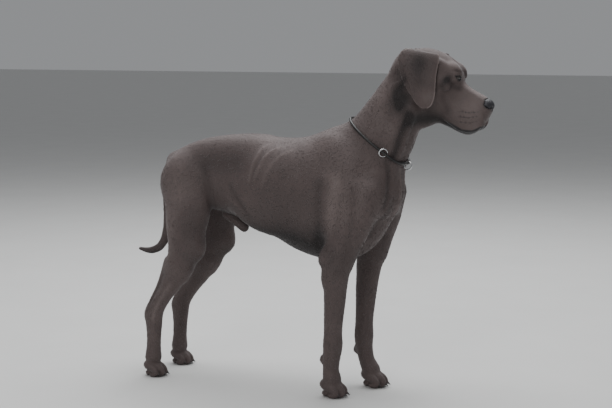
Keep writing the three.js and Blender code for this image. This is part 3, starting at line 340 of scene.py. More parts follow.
# Head, in its own frame: x to the nose, z up from the middle of the skull.
skull = barrel(
    [
        [8, 26, -32, -100, 50, 2], [40, 49, -24, -112, 60, 2.1], [75, 61, -20, -122, 64, 2.2],
        [110, 64, -20, -128, 65, 2.3], [142, 62, -24, -128, 61, 2.3], [165, 55, -30, -128, 54, 2.4],
        [184, 40, -38, -124, 47, 2.4], [202, 20, -46, -118, 42, 2.5], [222, 13, -56, -114, 40, 2.5],
        [255, 12, -62, -112, 39, 2.5], [288, 12, -60, -106, 37, 2.5], [309, 10, -52, -92, 33, 2.4],
        [317, 4, -44, -74, 28, 2.3],
    ],
    36,
    10,
)
chin = barrel(
    [
        [150, -70, -104, -136, 36, 2.2], [200, -72, -104, -134, 34, 2.3], [240, -74, -104, -131, 31, 2.4],
        [272, -72, -102, -129, 30, 2.4], [296, -66, -92, -122, 28, 2.3], [312, -60, -80, -107, 23, 2.2],
        [321, -58, -70, -88, 15, 2],
    ],
    10,
    7,
)
brow_face = fused(
    (skull, 1),
    (paired(mass([112, -44, -52], [56, 26, 48])), 22),
    (paired(mass([136, -50, -8], [58, 16, 24], [10, -10, 0])), 16),
    (paired(mass([120, -50, 30], [44, 14, 18], [0, 10, 0])), 16),
    (paired(mass([162, -37, 19], [27, 17, 23], [0, -24, 0])), 18),
    (paired(mass([176, -29, 18], [18, 13, 20])), 12),
    (paired(mass([164, -31, 42], [27, 18, 14], [14, 0, 0])), 14),
    (paired(mass([262, -30, -72], [66, 15, 48], [-6, -3, 0])), 12),
    (paired(mass([222, -35, -95], [28, 9, 17], [14, 0, 0])), 15),
    (mass([170, 0, -112], [60, 34, 26]), 24),
    (mass([126, 0, -140], [54, 36, 46]), 30),
    (mass([300, 0, -10], [20, 25, 20]), 8),
    (paired(mass([214, -60, -20], [30, 20, 24])), -22),
    (mass([150, 0, 72], [42, 6, 14], [6, 0, 0]), -10),
)

# Lids: a thin skirt of skin over the eyeball, open in an almond that looks along the gaze.
GAZE = Vector((0.9, -0.42, 0.05)).normalized()
ACROSS = Vector((0, 0, 1)).cross(GAZE).normalized()
UPWARD = np.array(GAZE.cross(ACROSS))
GAZE, ACROSS = np.array(GAZE), np.array(ACROSS)
LID_THICK = 2.4


def opening(p):
    """How far a point on the right is inside the gap between the lids, in millimetres."""
    d = p - EYE
    n = d / np.maximum(np.linalg.norm(d, axis=1), 1e-6)[:, None]
    across, up, out = n @ ACROSS, n @ UPWARD, n @ GAZE
    up = up + 0.16 * across
    arch = 1 - (across / 0.84) ** 2
    gap = np.minimum(0.40 * arch - up, up + 0.36 * arch) * 14
    return np.where(out < 0, -20, gap)


def lids():
    def far(p):
        shell = np.linalg.norm(p - EYE, axis=1) - EYE_RADIUS - LID_THICK
        gap = opening(p)
        near = np.maximum(1.6 - np.abs(shell - gap), 0) / 1.6
        return np.maximum(shell, gap) + near * near * 0.4

    return paired((far, EYE, EYE_RADIUS + LID_THICK))


def between_lids():
    """The gap itself, from inside the eyeball out through whatever flesh lies over it."""

    def far(p):
        out = np.linalg.norm(p - EYE, axis=1) - EYE_RADIUS - 16
        return np.maximum(out, -opening(p))

    return paired((far, EYE, EYE_RADIUS + 16))


nose_core = fused(
    (mass([302, 0, -8], [22, 21, 18]), 1), (paired(mass([300, -15, -10], [16, 10, 14], [0, -12, 0])), 8)
)

# Ears: a bent leaf from the root over the fold to the tip. Rows hold the back edge's x and z, the
# front edge's x and z, the distance from the midline, how far the edges curl in, and the thickness.
EAR_ROWS = smooth_rows(
    [
        [14, 26, 86, 42, 46, 4, 9], [-1, 21, 93, 54, 60, 7, 8], [-9, 2, 101, 57, 70, 10, 7],
        [2, -28, 111, 46, 79, 13, 6.5], [30, -54, 122, 19, 85, 13, 6], [58, -74, 133, -5, 88, 11, 5.5],
        [88, -90, 147, -32, 88, 8, 5], [116, -103, 158, -58, 86, 5, 5], [136, -109, 162, -84, 83, 3, 4.5],
        [145, -108, 158, -98, 81, 1, 4],
    ],
    5,
)
EAR_ACROSS = 15
COAT_DEPTH = 0.8


def ear_leaf():
    sheet, half = [], []
    for back_x, back_z, front_x, front_z, out, curl, thick in EAR_ROWS:
        for t in np.linspace(0, 1, EAR_ACROSS):
            bow = (2 * t - 1) ** 2
            ripple = 1.3 * math.sin(5 * t + 0.05 * front_z) * (1 - bow)
            x, z = back_x + (front_x - back_x) * t, back_z + (front_z - back_z) * t
            sheet.append((x, -(out - curl * bow + ripple), z))
            half.append(thick / 2 * (0.62 + 0.38 * (1 - bow**3)))
    faces = []
    for i in range(len(EAR_ROWS) - 1):
        for n in range(EAR_ACROSS - 1):
            a = i * EAR_ACROSS + n
            faces.append((a, a + 1, a + EAR_ACROSS + 1, a + EAR_ACROSS))
    tree = BVHTree.FromPolygons(sheet, faces)
    half = np.array(half) + COAT_DEPTH
    sheet = np.array(sheet)
    corners = np.array(faces)
    low, high = sheet.min(0), sheet.max(0)

    def far(p):
        out = np.linalg.norm(np.maximum(0, np.maximum(low - p, p - high)), axis=1) + 4
        near = out < 16
        if not near.any():
            return out
        hits = [tree.find_nearest(q) for q in p[near].tolist()]
        spots = np.array([hit[0] for hit in hits])
        a, b, c, d = corners[[hit[2] for hit in hits]].T
        along, over = sheet[d] - sheet[a], sheet[b] - sheet[a]
        s = np.clip(((spots - sheet[a]) * along).sum(1) / (along * along).sum(1), 0, 1)
        t = np.clip(((spots - sheet[a]) * over).sum(1) / (over * over).sum(1), 0, 1)
        thick = (half[a] * (1 - t) + half[b] * t) * (1 - s) + (half[d] * (1 - t) + half[c] * t) * s
        out[near] = [hit[3] for hit in hits] - thick
        return out

    return paired((far, (low + high) / 2, np.linalg.norm(high - low) / 2))


face = fused(
    (brow_face, 1),
    (chin, 1.5),
    (ear_leaf(), 8),
    (lids(), 4),
    (between_lids(), -1.4),
    (paired(mass(EYE, [EYE_RADIUS + 0.3] * 3)), -0.6),
    (nose_core, -5),
)
body = fused(
    (trunk, 1),
    (ribcage, 40),
    (loin, 26),
    (breast, 34),
    (breast_side, 26),
    (neck, 54),
    (crest, 26),
    (throat_cord, 22),
    (shoulder(-1, 0), 40),
    (shoulder(1, 30), 40),
    (right_fore, 22),
    (left_fore, 22),
    (hindquarter(-1, 0, 0), 26),
    (hindquarter(1, 8, -6), 26),
    (tail, 18),
    (sheath, 12),
)
feet = [(foot(*spot), 9) for spot in FEET]
flesh = fused((body, 1), (on_head(face), 24), *feet, *((pad, 11) for pad in stopper_pads))

# Folds and ridges that lie on the flesh: rows of x, y, z, width and height, a crease below zero.
# These are on both sides: skin ripples behind the ribs, the edges of the thigh, flank, shoulder and
# breast, the groove of the throat and the fold behind the ear.
FOLDS = [
    [[105, -85, 808, 6, 0], [96, -112, 777, 6, 3], [84, -124, 742, 6, 3.4], [76, -130, 699, 6, 0]],
    [[166, -83, 810, 6, 0], [132, -110, 785, 6.5, 3.2], [111, -127, 746, 6.5, 3.6], [92, -133, 700, 6, 0]],
    [[127, -64, 821, 5, 0], [106, -95, 799, 5, 2.4], [91, -116, 767, 5, 0]],
    [[215, -94, 803, 7, 0], [178, -116, 777, 8, 2], [147, -133, 738, 8, 2], [128, -139, 692, 7, 0]],
    [[-134, -110, 748, 34, -3], [-64, -107, 747, 34, -5], [19, -113, 745, 30, -2]],
    [[-107, -111, 733, 14, -1], [-92, -111, 686, 14, -4], [-87, -100, 632, 14, -5], [-97, -77, 581, 14, -2]],
    [[0, -113, 677, 9, 0], [16, -116, 645, 9, -3], [39, -117, 613, 9, -3.6], [67, -115, 581, 9, 0]],
    [[-30, -108, 640, 10, 0], [3, -107, 622, 9, 3], [38, -112, 602, 9, 3], [66, -105, 575, 9, 0]],
    [[530, -63, 780, 7, 0], [539, -57, 722, 8, -4], [542, -73, 666, 9, -5], [532, -81, 628, 10, -3]],
    [[546, -49, 641, 10, -2], [511, -62, 586, 12, -4], [474, -57, 532, 12, -3], [459, -110, 486, 10, 0]],
    [[562, -21, 745, 8, 0], [563, -14, 697, 9, 3], [556, -13, 638, 9, 2], [540, -10, 600, 9, 0]],
    [[388, -133, 723, 22, 0], [381, -140, 653, 22, 3], [371, -140, 582, 20, 3], [364, -132, 522, 16, 0]],
    [[330, -136, 707, 16, 0], [330, -143, 634, 16, -4], [328, -131, 559, 16, -6], [308, -87, 493, 14, -3]],
    [[443, -133, 687, 18, 0], [449, -146, 609, 16, -2.6], [437, -148, 529, 16, -2.6], [424, -143, 457, 12, 0]],
    [[605, -59, 921, 9, -2], [582, -58, 870, 9, -6], [565, -57, 818, 9, -6], [552, -58, 790, 9, -2]],
    [[618, -40, 915, 9, 1], [598, -38, 868, 9, 3], [582, -38, 818, 9, 3], [570, -38, 790, 9, 0]],
    [
        [581, -60, 1039, 5, 0], [558, -43, 1021, 5, 2.4], [541, -40, 1012, 5, 3.2],
        [535, -44, 986, 5, 3], [551, -51, 957, 6, 0],
    ],
    [
        [592, -60, 1036, 6, 0], [568, -52, 1008, 7, -3], [552, -52, 996, 7, -3.4],
        [552, -56, 975, 7, -3], [566, -58, 950, 7, 0],
    ],
]
for x in (62, 104, 146, 188, 230):
    rib = [[x, -96, 770, 9, 0], [x + 8, -132, 700, 9, 1], [x + 20, -136, 620, 9, 1], [x + 40, -100, 540, 9, 0]]
    FOLDS.append(rib)
# On each leg: the groove before the tendon of the hock, the shin, the wrist's cords, the forearm.
LEG_FOLDS = [
    [[-257, -121, 371, 8, 0], [-293, -110, 311, 7, -4.5], [-319, -112, 257, 6, -3.5], [-326, -112, 235, 6, 0]],
    [[-231, -126, 329, 8, 0], [-274, -122, 273, 7, 2.2], [-300, -120, 228, 7, 2.2], [-306, -118, 200, 7, 0]],
    [[385, -122, 260, 6, 0], [382, -122, 179, 7, 1.8], [374, -119, 121, 6, 1.8], [380, -114, 80, 6, 0]],
    [[404, -134, 430, 9, 0], [392, -134, 360, 8, -2.6], [380, -122, 290, 7, -2], [374, -118, 240, 7, 0]],
    [[350, -132, 430, 9, 0], [346, -128, 380, 8, -2], [344, -118, 320, 8, -1.6], [342, -112, 260, 7, 0]],
]
LEG_FOLDS += [[[x + (30 if x > 0 else 0), -y, z, w, high] for x, y, z, w, high in rows] for rows in LEG_FOLDS]
# In the head's frame: bags under the eye, the brow, the line from the cheek to the lips, the edge
# of the muzzle's roof and the creases in the hanging lips.
FACE_FOLDS = [
    [[162, -60, 4, 4, 0], [174, -56, -2, 4, -2.2], [188, -44, -5, 4, -2.6], [202, -34, -4, 4, 0]],
    [[158, -64, -8, 6, 0], [172, -60, -14, 6, 1.8], [190, -46, -18, 6, 1.4], [204, -38, -16, 6, 0]],
    [[158, -55, 34, 4, 0], [170, -51, 39, 4, -2], [184, -36, 42, 4, -1.8], [194, -24, 38, 4, 0]],
    [[165, -66, -2, 8, 0], [172, -58, -35, 9, -3], [188, -46, -60, 9, -3], [210, -40, -84, 8, 0]],
    [[216, -21, 7, 7, 0], [257, -23, 2, 7, 2], [288, -25, -1, 6, 1.4], [300, -24, -4, 6, 0]],
    [[236, -42, -70, 4, 0], [262, -46, -92, 4, -1.4], [290, -44, -100, 4, 0]],
    [[70, -62, 44, 5, 0], [100, -62, 34, 6, -2], [128, -60, 26, 6, -1.4], [146, -58, 20, 5, 0]],
]


def raised(p, folds):
    total = np.zeros(len(p))
    for rows in folds:
        rows = smooth_rows(rows, 3)
        span = 3 * rows[:, 3].max()
        near = np.all((p > rows[:, :3].min(0) - span) & (p < rows[:, :3].max(0) + span), axis=1)
        if not near.any():
            continue
        q = p[near]
        best = np.full(len(q), 1e9)
        height = np.zeros(len(q))
        for a, b in zip(rows[:-1], rows[1:]):
            along = b[:3] - a[:3]
            t = np.clip((q - a[:3]) @ along / (along @ along), 0, 1)
            off = np.linalg.norm(q - a[:3] - t[:, None] * along, axis=1) / (a[3] + (b[3] - a[3]) * t)
            closer = off < best
            best = np.where(closer, off, best)
            height = np.where(closer, a[4] + (b[4] - a[4]) * t, height)
        total[near] += height * np.exp(-best * best)
    return total


def mouth_line(p):
    """Nearness to the line where the hanging lips meet the lower jaw, in the head's frame."""
    upper, lower = brow_face[0](p), chin[0](p)
    return np.exp(-(((upper - lower) / 1.9) ** 2)) * (np.abs(upper) < 8) * np.clip((p[:, 0] - 206) / 16, 0, 1)


def skin(p):
    d = flesh[0](p) + COAT_DEPTH - raised(mirrored(p), FOLDS) - raised(p, LEG_FOLDS)
    h = to_head(p)
    at_face = (h[:, 0] > 60) & (h[:, 2] > -150) & (h[:, 0] < 340)
    if at_face.any():
        f = mirrored(h[at_face])
        from_eye = np.linalg.norm(f - EYE, axis=1)
        d[at_face] += 1.3 * mouth_line(f) - raised(f, FACE_FOLDS) - COAT_DEPTH * np.exp(-((from_eye / 20) ** 6))
    return d


# ---- The skin
# Two skins cover the flesh, from the collar back and from the collar to the nose. Each is found on a
# grid: a point in each cell that the surface passes, then pulled onto it.
def graded(*stretches):
    """Grid levels: each stretch has its start, its end and its step."""
    lines = [np.linspace(a, b, max(2, math.ceil((b - a) / step)) + 1)[:-1] for a, b, step in stretches]
    return np.concatenate(lines + [[stretches[-1][1]]])


def pulled(points, field, rounds):
    for _ in range(rounds):
        here = field(points)
        slope = np.stack([field(points + 0.4 * axis) - here for axis in np.eye(3)], axis=1) / 0.4
        steep = (slope * slope).sum(1) + 1e-3
        move = np.clip(0.9 * here / steep, -4, 4)
        points = points - move[:, None] * slope
    return points


def skinned(field, xs, ys, zs, reach):
    lines = (xs, ys, zs)
    coarse = [np.append(line[:-1:4], line[-1]) for line in lines]
    grid = np.stack(np.meshgrid(*coarse, indexing="ij"), -1).reshape(-1, 3)
    value = field(grid).reshape([len(c) for c in coarse])
    for axis in range(3):
        marks = coarse[axis]
        low = np.clip(np.searchsorted(marks, lines[axis], side="right") - 1, 0, len(marks) - 2)
        t = (lines[axis] - marks[low]) / (marks[low + 1] - marks[low])
        t = t.reshape([-1 if a == axis else 1 for a in range(3)])
        value = np.take(value, low, axis) * (1 - t) + np.take(value, low + 1, axis) * t
    near = np.abs(value) < reach
    for axis in range(3):
        near.swapaxes(0, axis)[0] = False
        near.swapaxes(0, axis)[-1] = False
    i, j, k = np.nonzero(near)
    value[near] = field(np.stack([xs[i], ys[j], zs[k]], axis=1))
    for axis in range(3):
        value.swapaxes(0, axis)[0] = 50
        value.swapaxes(0, axis)[-1] = 50
    value[value == 0] = 1e-6
    inside = value < 0
    counts = np.array(value.shape)
    stride = np.array([counts[1] * counts[2], counts[2], 1])
    cells, spots, quads = [], [], []
    for axis in range(3):
        lower, upper = [slice(None)] * 3, [slice(None)] * 3
        lower[axis], upper[axis] = slice(0, -1), slice(1, None)
        found = np.stack(np.nonzero(inside[tuple(lower)] != inside[tuple(upper)]), axis=1)
        ahead = found.copy()
        ahead[:, axis] += 1
        a, b = value[tuple(found.T)], value[tuple(ahead.T)]
        spot = np.stack([lines[c][found[:, c]] for c in range(3)], axis=1)
        spot[:, axis] += a / (a - b) * (lines[axis][ahead[:, axis]] - spot[:, axis])
        p, q = (axis + 1) % 3, (axis + 2) % 3
        around = []
        for dp, dq in ((1, 1), (0, 1), (0, 0), (1, 0)):
            cell = found.copy()
            cell[:, p] -= dp
            cell[:, q] -= dq
            around.append(cell @ stride)
        around = np.stack(around, axis=1)
        cells.append(around.ravel())
        spots.append(np.repeat(spot, 4, axis=0))
        quads.append(np.where((a < 0)[:, None], around, around[:, ::-1]))
    cells, spots, quads = np.concatenate(cells), np.concatenate(spots), np.concatenate(quads)
    used, index = np.unique(cells, return_inverse=True)
    count = np.bincount(index)
    points = np.stack([np.bincount(index, spots[:, c]) / count for c in range(3)], axis=1)
    return pulled(points, field, 3), np.searchsorted(used, quads)


# The collar lies in a plane round the neck; the body's skin and the head's skin meet under it.
COLLAR_POINT = np.array([476.0, 4.0, 838.0])
COLLAR_NORMAL = np.array([0.6, 0.0, 0.8])


def placed(name, data):
    made = bpy.data.objects.new(name, data)
    bpy.context.scene.collection.objects.link(made)
    return made


def piece_of(name, points, faces):
    mesh = bpy.data.meshes.new(name)
    mesh.from_pydata(in_metres(points).tolist(), [], faces.tolist() if hasattr(faces, "tolist") else faces)
    mesh.validate()
    return placed(name, mesh)


def faced_out(mesh):
    """Turns every face to the outside and shades it smoothly."""
    work = bmesh.new()
    work.from_mesh(mesh)
    bmesh.ops.recalc_face_normals(work, faces=work.faces)
    for facet in work.faces:
        facet.smooth = True
    work.to_mesh(mesh)
    work.free()


def cut_at_collar(made, keep_above):
    work = bmesh.new()
    work.from_mesh(made.data)
    bmesh.ops.bisect_plane(
        work,
        geom=work.verts[:] + work.edges[:] + work.faces[:],
        dist=1e-6,
        plane_co=in_metres(COLLAR_POINT),
        plane_no=COLLAR_NORMAL,
        clear_inner=keep_above,
        clear_outer=not keep_above,
    )
    rim = [edge for edge in work.edges if edge.is_boundary]
    cap = bmesh.ops.edgeloop_fill(work, edges=rim)["faces"]
    bmesh.ops.triangulate(work, faces=cap)
    for edge in rim:
        edge.smooth = False
    for facet in work.faces:
        facet.smooth = True
    work.to_mesh(made.data)
    work.free()


body_points, body_faces = skinned(
    skin, graded((-452, 720, 6.2)), graded((-176, 176, 6)), graded((-9, 70, 4), (70, 1010, 6.2)), 34
)
body_skin = piece_of("body_skin", body_points, body_faces)
head_points, head_faces = skinned(
    lambda p: skin(from_head(p)),
    graded((-96, 154, 3.4), (154, 206, 1.3), (206, 342, 2.8)),
    graded((-104, 104, 2.9)),
    graded((-448, -140, 5), (-140, 6, 2.8), (6, 44, 1.3), (44, 96, 2.8)),
    20,
)
head_skin = piece_of("head_skin", from_head(head_points), head_faces)


def eased(made, chosen, rounds):
    """Evens out the mesh along thin rims, where the grid leaves small steps."""
    mesh = made.data
    points = in_millimetres([v.co for v in mesh.vertices])
    ends = np.array([edge.vertices[:] for edge in mesh.edges])
    moved = chosen(points)
    for _ in range(rounds):
        total = np.zeros_like(points)
        for a, b in (ends.T, ends.T[::-1]):
            for c in range(3):
                total[:, c] += np.bincount(a, points[b, c], len(points))
        count = np.bincount(ends.ravel(), minlength=len(points))
        middle = total / np.maximum(count, 1)[:, None]
        points[moved] += 0.5 * (middle[moved] - points[moved])
    mesh.vertices.foreach_set("co", in_metres(points).ravel())
    mesh.update()


eased(head_skin, lambda p: np.abs(to_head(p)[:, 1]) > 62, 3)
cut_at_collar(body_skin, False)
cut_at_collar(head_skin, True)


def refined(made, chosen):
    """Halves the faces whose middles are chosen, and pulls the new points onto the flesh."""
    work = bmesh.new()
    work.from_mesh(made.data)
    middles = in_millimetres([f.calc_center_median() for f in work.faces])
    picked = chosen(middles)
    edges = {edge for f, pick in zip(work.faces, picked) if pick for edge in f.edges}
    bmesh.ops.subdivide_edges(work, edges=list(edges), cuts=1, use_grid_fill=True)
    for facet in work.faces:
        facet.smooth = True
    work.to_mesh(made.data)
    work.free()
    points = in_millimetres([v.co for v in made.data.vertices])
    moved = chosen(points) & (points[:, 2] > 0.5)
    points[moved] = pulled(points[moved], skin, 3)
    points[:, 2] = np.maximum(points[:, 2], 0)
    made.data.vertices.foreach_set("co", in_metres(points).ravel())
    made.data.update()


refined(body_skin, lambda p: p[:, 2] < 74)
RIPPLES_FROM, RIPPLES_TO = (50, 60, 680), (190, 900, 825)


def at_ripples(p):
    q = mirrored(p) * (1, -1, 1)
    return np.all((q > RIPPLES_FROM) & (q < RIPPLES_TO), axis=1)


refined(body_skin, at_ripples)

# ---- Lie of the hair, and painted light and shade
# The coat grows back from the nose, down the neck, along the trunk and down the legs. On its blue-grey
# lie painted highlights on the raised folds and the brow, and painted shade in the hollows and under the body; the
# lips are darker as bare skin.
flow = []


def lies_along(rows, turned=False):
    rows = np.array(rows, dtype=float)[:, :3]
    rows = rows[::-1] if turned else rows
    for a, b in zip(rows[:-1], rows[1:]):
        flow.append(((a + b) / 2, (b - a) / np.linalg.norm(b - a)))


for side in (-1, 1):
    lies_along([[470, side * 60, 800], [380, side * 110, 700], [250, side * 130, 640], [60, side * 110, 640]])
    lies_along([[60, side * 110, 640], [-90, side * 110, 660], [-190, side * 110, 600], [-210, side * 110, 430]])
    lies_along([[430, side * 100, 690], [420, side * 110, 560], [392, side * 110, 440], [372, side * 105, 300]])
    lies_along([[372, side * 105, 300], [366, side * 97, 160], [370, side * 92, 60], [410, side * 90, 20]])
    lies_along([[-210, side * 100, 400], [-280, side * 98, 300], [-318, side * 96, 180], [-300, side * 95, 20]])
    lies_along([[590, side * 60, 1010], [540, side * 70, 920], [480, side * 80, 800]])
lies_along([[540, 8, 1040], [480, 4, 940], [400, 0, 880], [250, 0, 860], [0, 0, 845], [-200, 0, 810], [-290, 0, 720]])
lies_along([
    [640, 14, 980], [590, 8, 860], [550, 4, 760], [530, 0, 660],
    [480, 0, 520], [300, 0, 440], [100, 0, 500], [-100, 0, 580],
])
lies_along([[-300, 0, 690], [-308, 0, 600], [-316, 0, 500], [-350, 0, 430], [-428, 0, 425]])
head_flow = [[320, 0, -20], [230, 0, 10], [150, 0, 60], [60, 0, 60], [0, 0, 20]]
cheek_flow = [[310, 34, -60], [220, 44, -70], [130, 64, -50], [40, 66, -60]]
jaw_flow = [[300, 10, -110], [200, 20, -130], [110, 20, -150], [60, 10, -200]]
lies_along(from_head(np.array(head_flow)))
for side in (-1, 1):
    lies_along(from_head(np.array(cheek_flow) * (1, side, 1)))
    lies_along(from_head(np.array(jaw_flow) * (1, side, 1)))
    for t in (0.25, 0.75):
        leaf = [[r[0] + (r[2] - r[0]) * t, side * r[4], r[1] + (r[3] - r[1]) * t] for r in EAR_ROWS]
        lies_along(from_head(np.array(leaf))[::4])


def hair_way(points, normals):
    spots = np.array([spot for spot, _ in flow])
    ways = np.array([way for _, way in flow])
    total = np.zeros_like(points)
    for spot, way in zip(spots, ways):
        pull = 1 / (((points - spot) ** 2).sum(1) + 900) ** 2
        total += pull[:, None] * way
    total -= (total * normals).sum(1)[:, None] * normals
    return total / np.maximum(np.linalg.norm(total, axis=1), 1e-12)[:, None]


def near_to(points, centre, radii, turn=0):
    """1 at a place on the dog, fading to 0 over the radii, turned in degrees about Y."""
    c, s = math.cos(math.radians(turn)), math.sin(math.radians(turn))
    d = points - np.array(centre, dtype=float)
    x, z = d[:, 0] * c - d[:, 2] * s, d[:, 0] * s + d[:, 2] * c
    off = (x / radii[0]) ** 2 + (d[:, 1] / radii[1]) ** 2 + (z / radii[2]) ** 2
    return np.exp(-off * 1.2)


def near_line(points, rows, radius):
    """1 along a line of places, fading to 0 at about twice the radius."""
    rows = np.array(rows, dtype=float)[:, :3]
    best = np.full(len(points), 1e9)
    for a, b in zip(rows[:-1], rows[1:]):
        along = b - a
        t = np.clip((points - a) @ along / (along @ along), 0, 1)
        best = np.minimum(best, np.linalg.norm(points - a - t[:, None] * along, axis=1))
    return np.exp(-((best / radius) ** 2))


# Soft patches of painted light and shade, and the pale callus on the elbow: how pale or dark (below zero),
# the middle, the radii and the turn of each soft patch.
BODY_LIGHT_SHADE_AND_CALLUS = (
    # painted shade in the loin hollow
    (-0.25, (-60, -110, 775), (150, 90, 46), -8),
    # painted highlights on the thigh, the top of the hip and the side of the neck
    (0.28, (-215, -110, 560), (60, 70, 170), 12),
    (0.16, (-230, -90, 730), (80, 90, 90), 0),
    (0.22, (540, -60, 960), (70, 90, 110), -30),
    # painted shade under the chest, where the thigh meets the flank, and under the belly
    (-0.6, (250, -90, 500), (190, 120, 60), 8),
    (-0.35, (-150, -120, 520), (50, 60, 90), 20),
    (-0.45, (110, -60, 500), (220, 90, 50), 8),
    # a painted highlight on the front of the shoulder, and painted shade on the side of the chest behind it
    (0.2, (400, -120, 660), (60, 60, 120), -25),
    (-0.16, (210, -140, 640), (130, 60, 110), 0),
    # the pale callus on the elbow
    (0.35, (344, -142, 463), (20, 30, 22), 0),
)
# Soft patches of painted light on the head: how pale or dark, the middle and the radii.
HEAD_LIGHT_AND_SHADE_PATCHES = (
    # painted shade on the middle of the ear and the side of the head under it
    (-0.3, (60, -80, 10), (60, 60, 45)),
    # painted highlights on the lower part of the ear, the side of the muzzle and the top of the head over the brow
    (0.25, (118, -90, -62), (40, 60, 26)),
    (0.28, (262, -40, -40), (60, 50, 60)),
    (0.2, (150, -50, 70), (50, 60, 40)),
)
WHISKER_BEADS = (
    (252, -44, -58), (262, -44, -56), (273, -44, -52), (284, -42, -44),
    (254, -45, -75), (266, -45, -71), (278, -45, -67), (290, -44, -58),
    (264, -44, -90), (278, -44, -84), (291, -44, -77),
)
# Painted light on the folds: which fold, how pale or dark, and how wide. Pale is a painted highlight
# on a raised fold, dark is painted shade in a crease.
FOLD_HIGHLIGHTS_AND_SHADE = (
    (0, 0.28, 5), (1, 0.32, 5.5), (2, 0.24, 4.5), (3, 0.2, 7), (4, -0.25, 34), (5, -0.3, 15),
    (6, -0.35, 9), (7, 0.2, 6), (8, -0.45, 9), (9, -0.35, 10), (10, 0.35, 8), (11, 0.25, 18),
    (12, -0.35, 16), (13, -0.15, 14), (14, -0.9, 14), (16, 0.2, 4), (17, -0.6, 12),
)
# The ear's front and rear edges, which carry painted highlights along the rims.
EAR_FRONT = [[r[2], -(r[4] - r[5]), r[3]] for r in EAR_ROWS[10:]]
EAR_REAR = [[r[0], -(r[4] - r[5]), r[1]] for r in EAR_ROWS[4:]]
# Lines of painted light on the head: painted shadow at the throat and below the jaw, painted shade on the ear
# and cheek, round the eye and along the brow, and painted highlights along the top of the muzzle and the ear rims.
HEAD_LIGHT_AND_SHADE_LINES = (
    (-1.1, 32, [[60, -40, -150], [131, -50, -160], [186, -30, -128], [214, -20, -124]]),
    (-0.55, 26, [[60, -86, 12], [80, -88, -25], [96, -87, -45]]),
    (-0.7, 34, [[20, -60, -60], [50, -66, -100], [80, -66, -130]]),
    (-0.3, 22, [[70, -62, -110], [100, -64, -80], [130, -66, -40]]),
    (-0.6, 10, FACE_FOLDS[0]),
    (-0.3, 11, FACE_FOLDS[3]),
    (-0.7, 11, [[166, -58, 14], [160, -62, -4], [158, -62, -18]]),
    (-0.45, 8, [[176, -44, 42], [188, -30, 47], [194, -22, 42]]),
    (0.25, 12, [[216, -14, 12], [257, -12, 12], [292, -10, 12]]),
    (1.1, 2.6, EAR_FRONT),
    (0.6, 2.4, EAR_REAR),
)


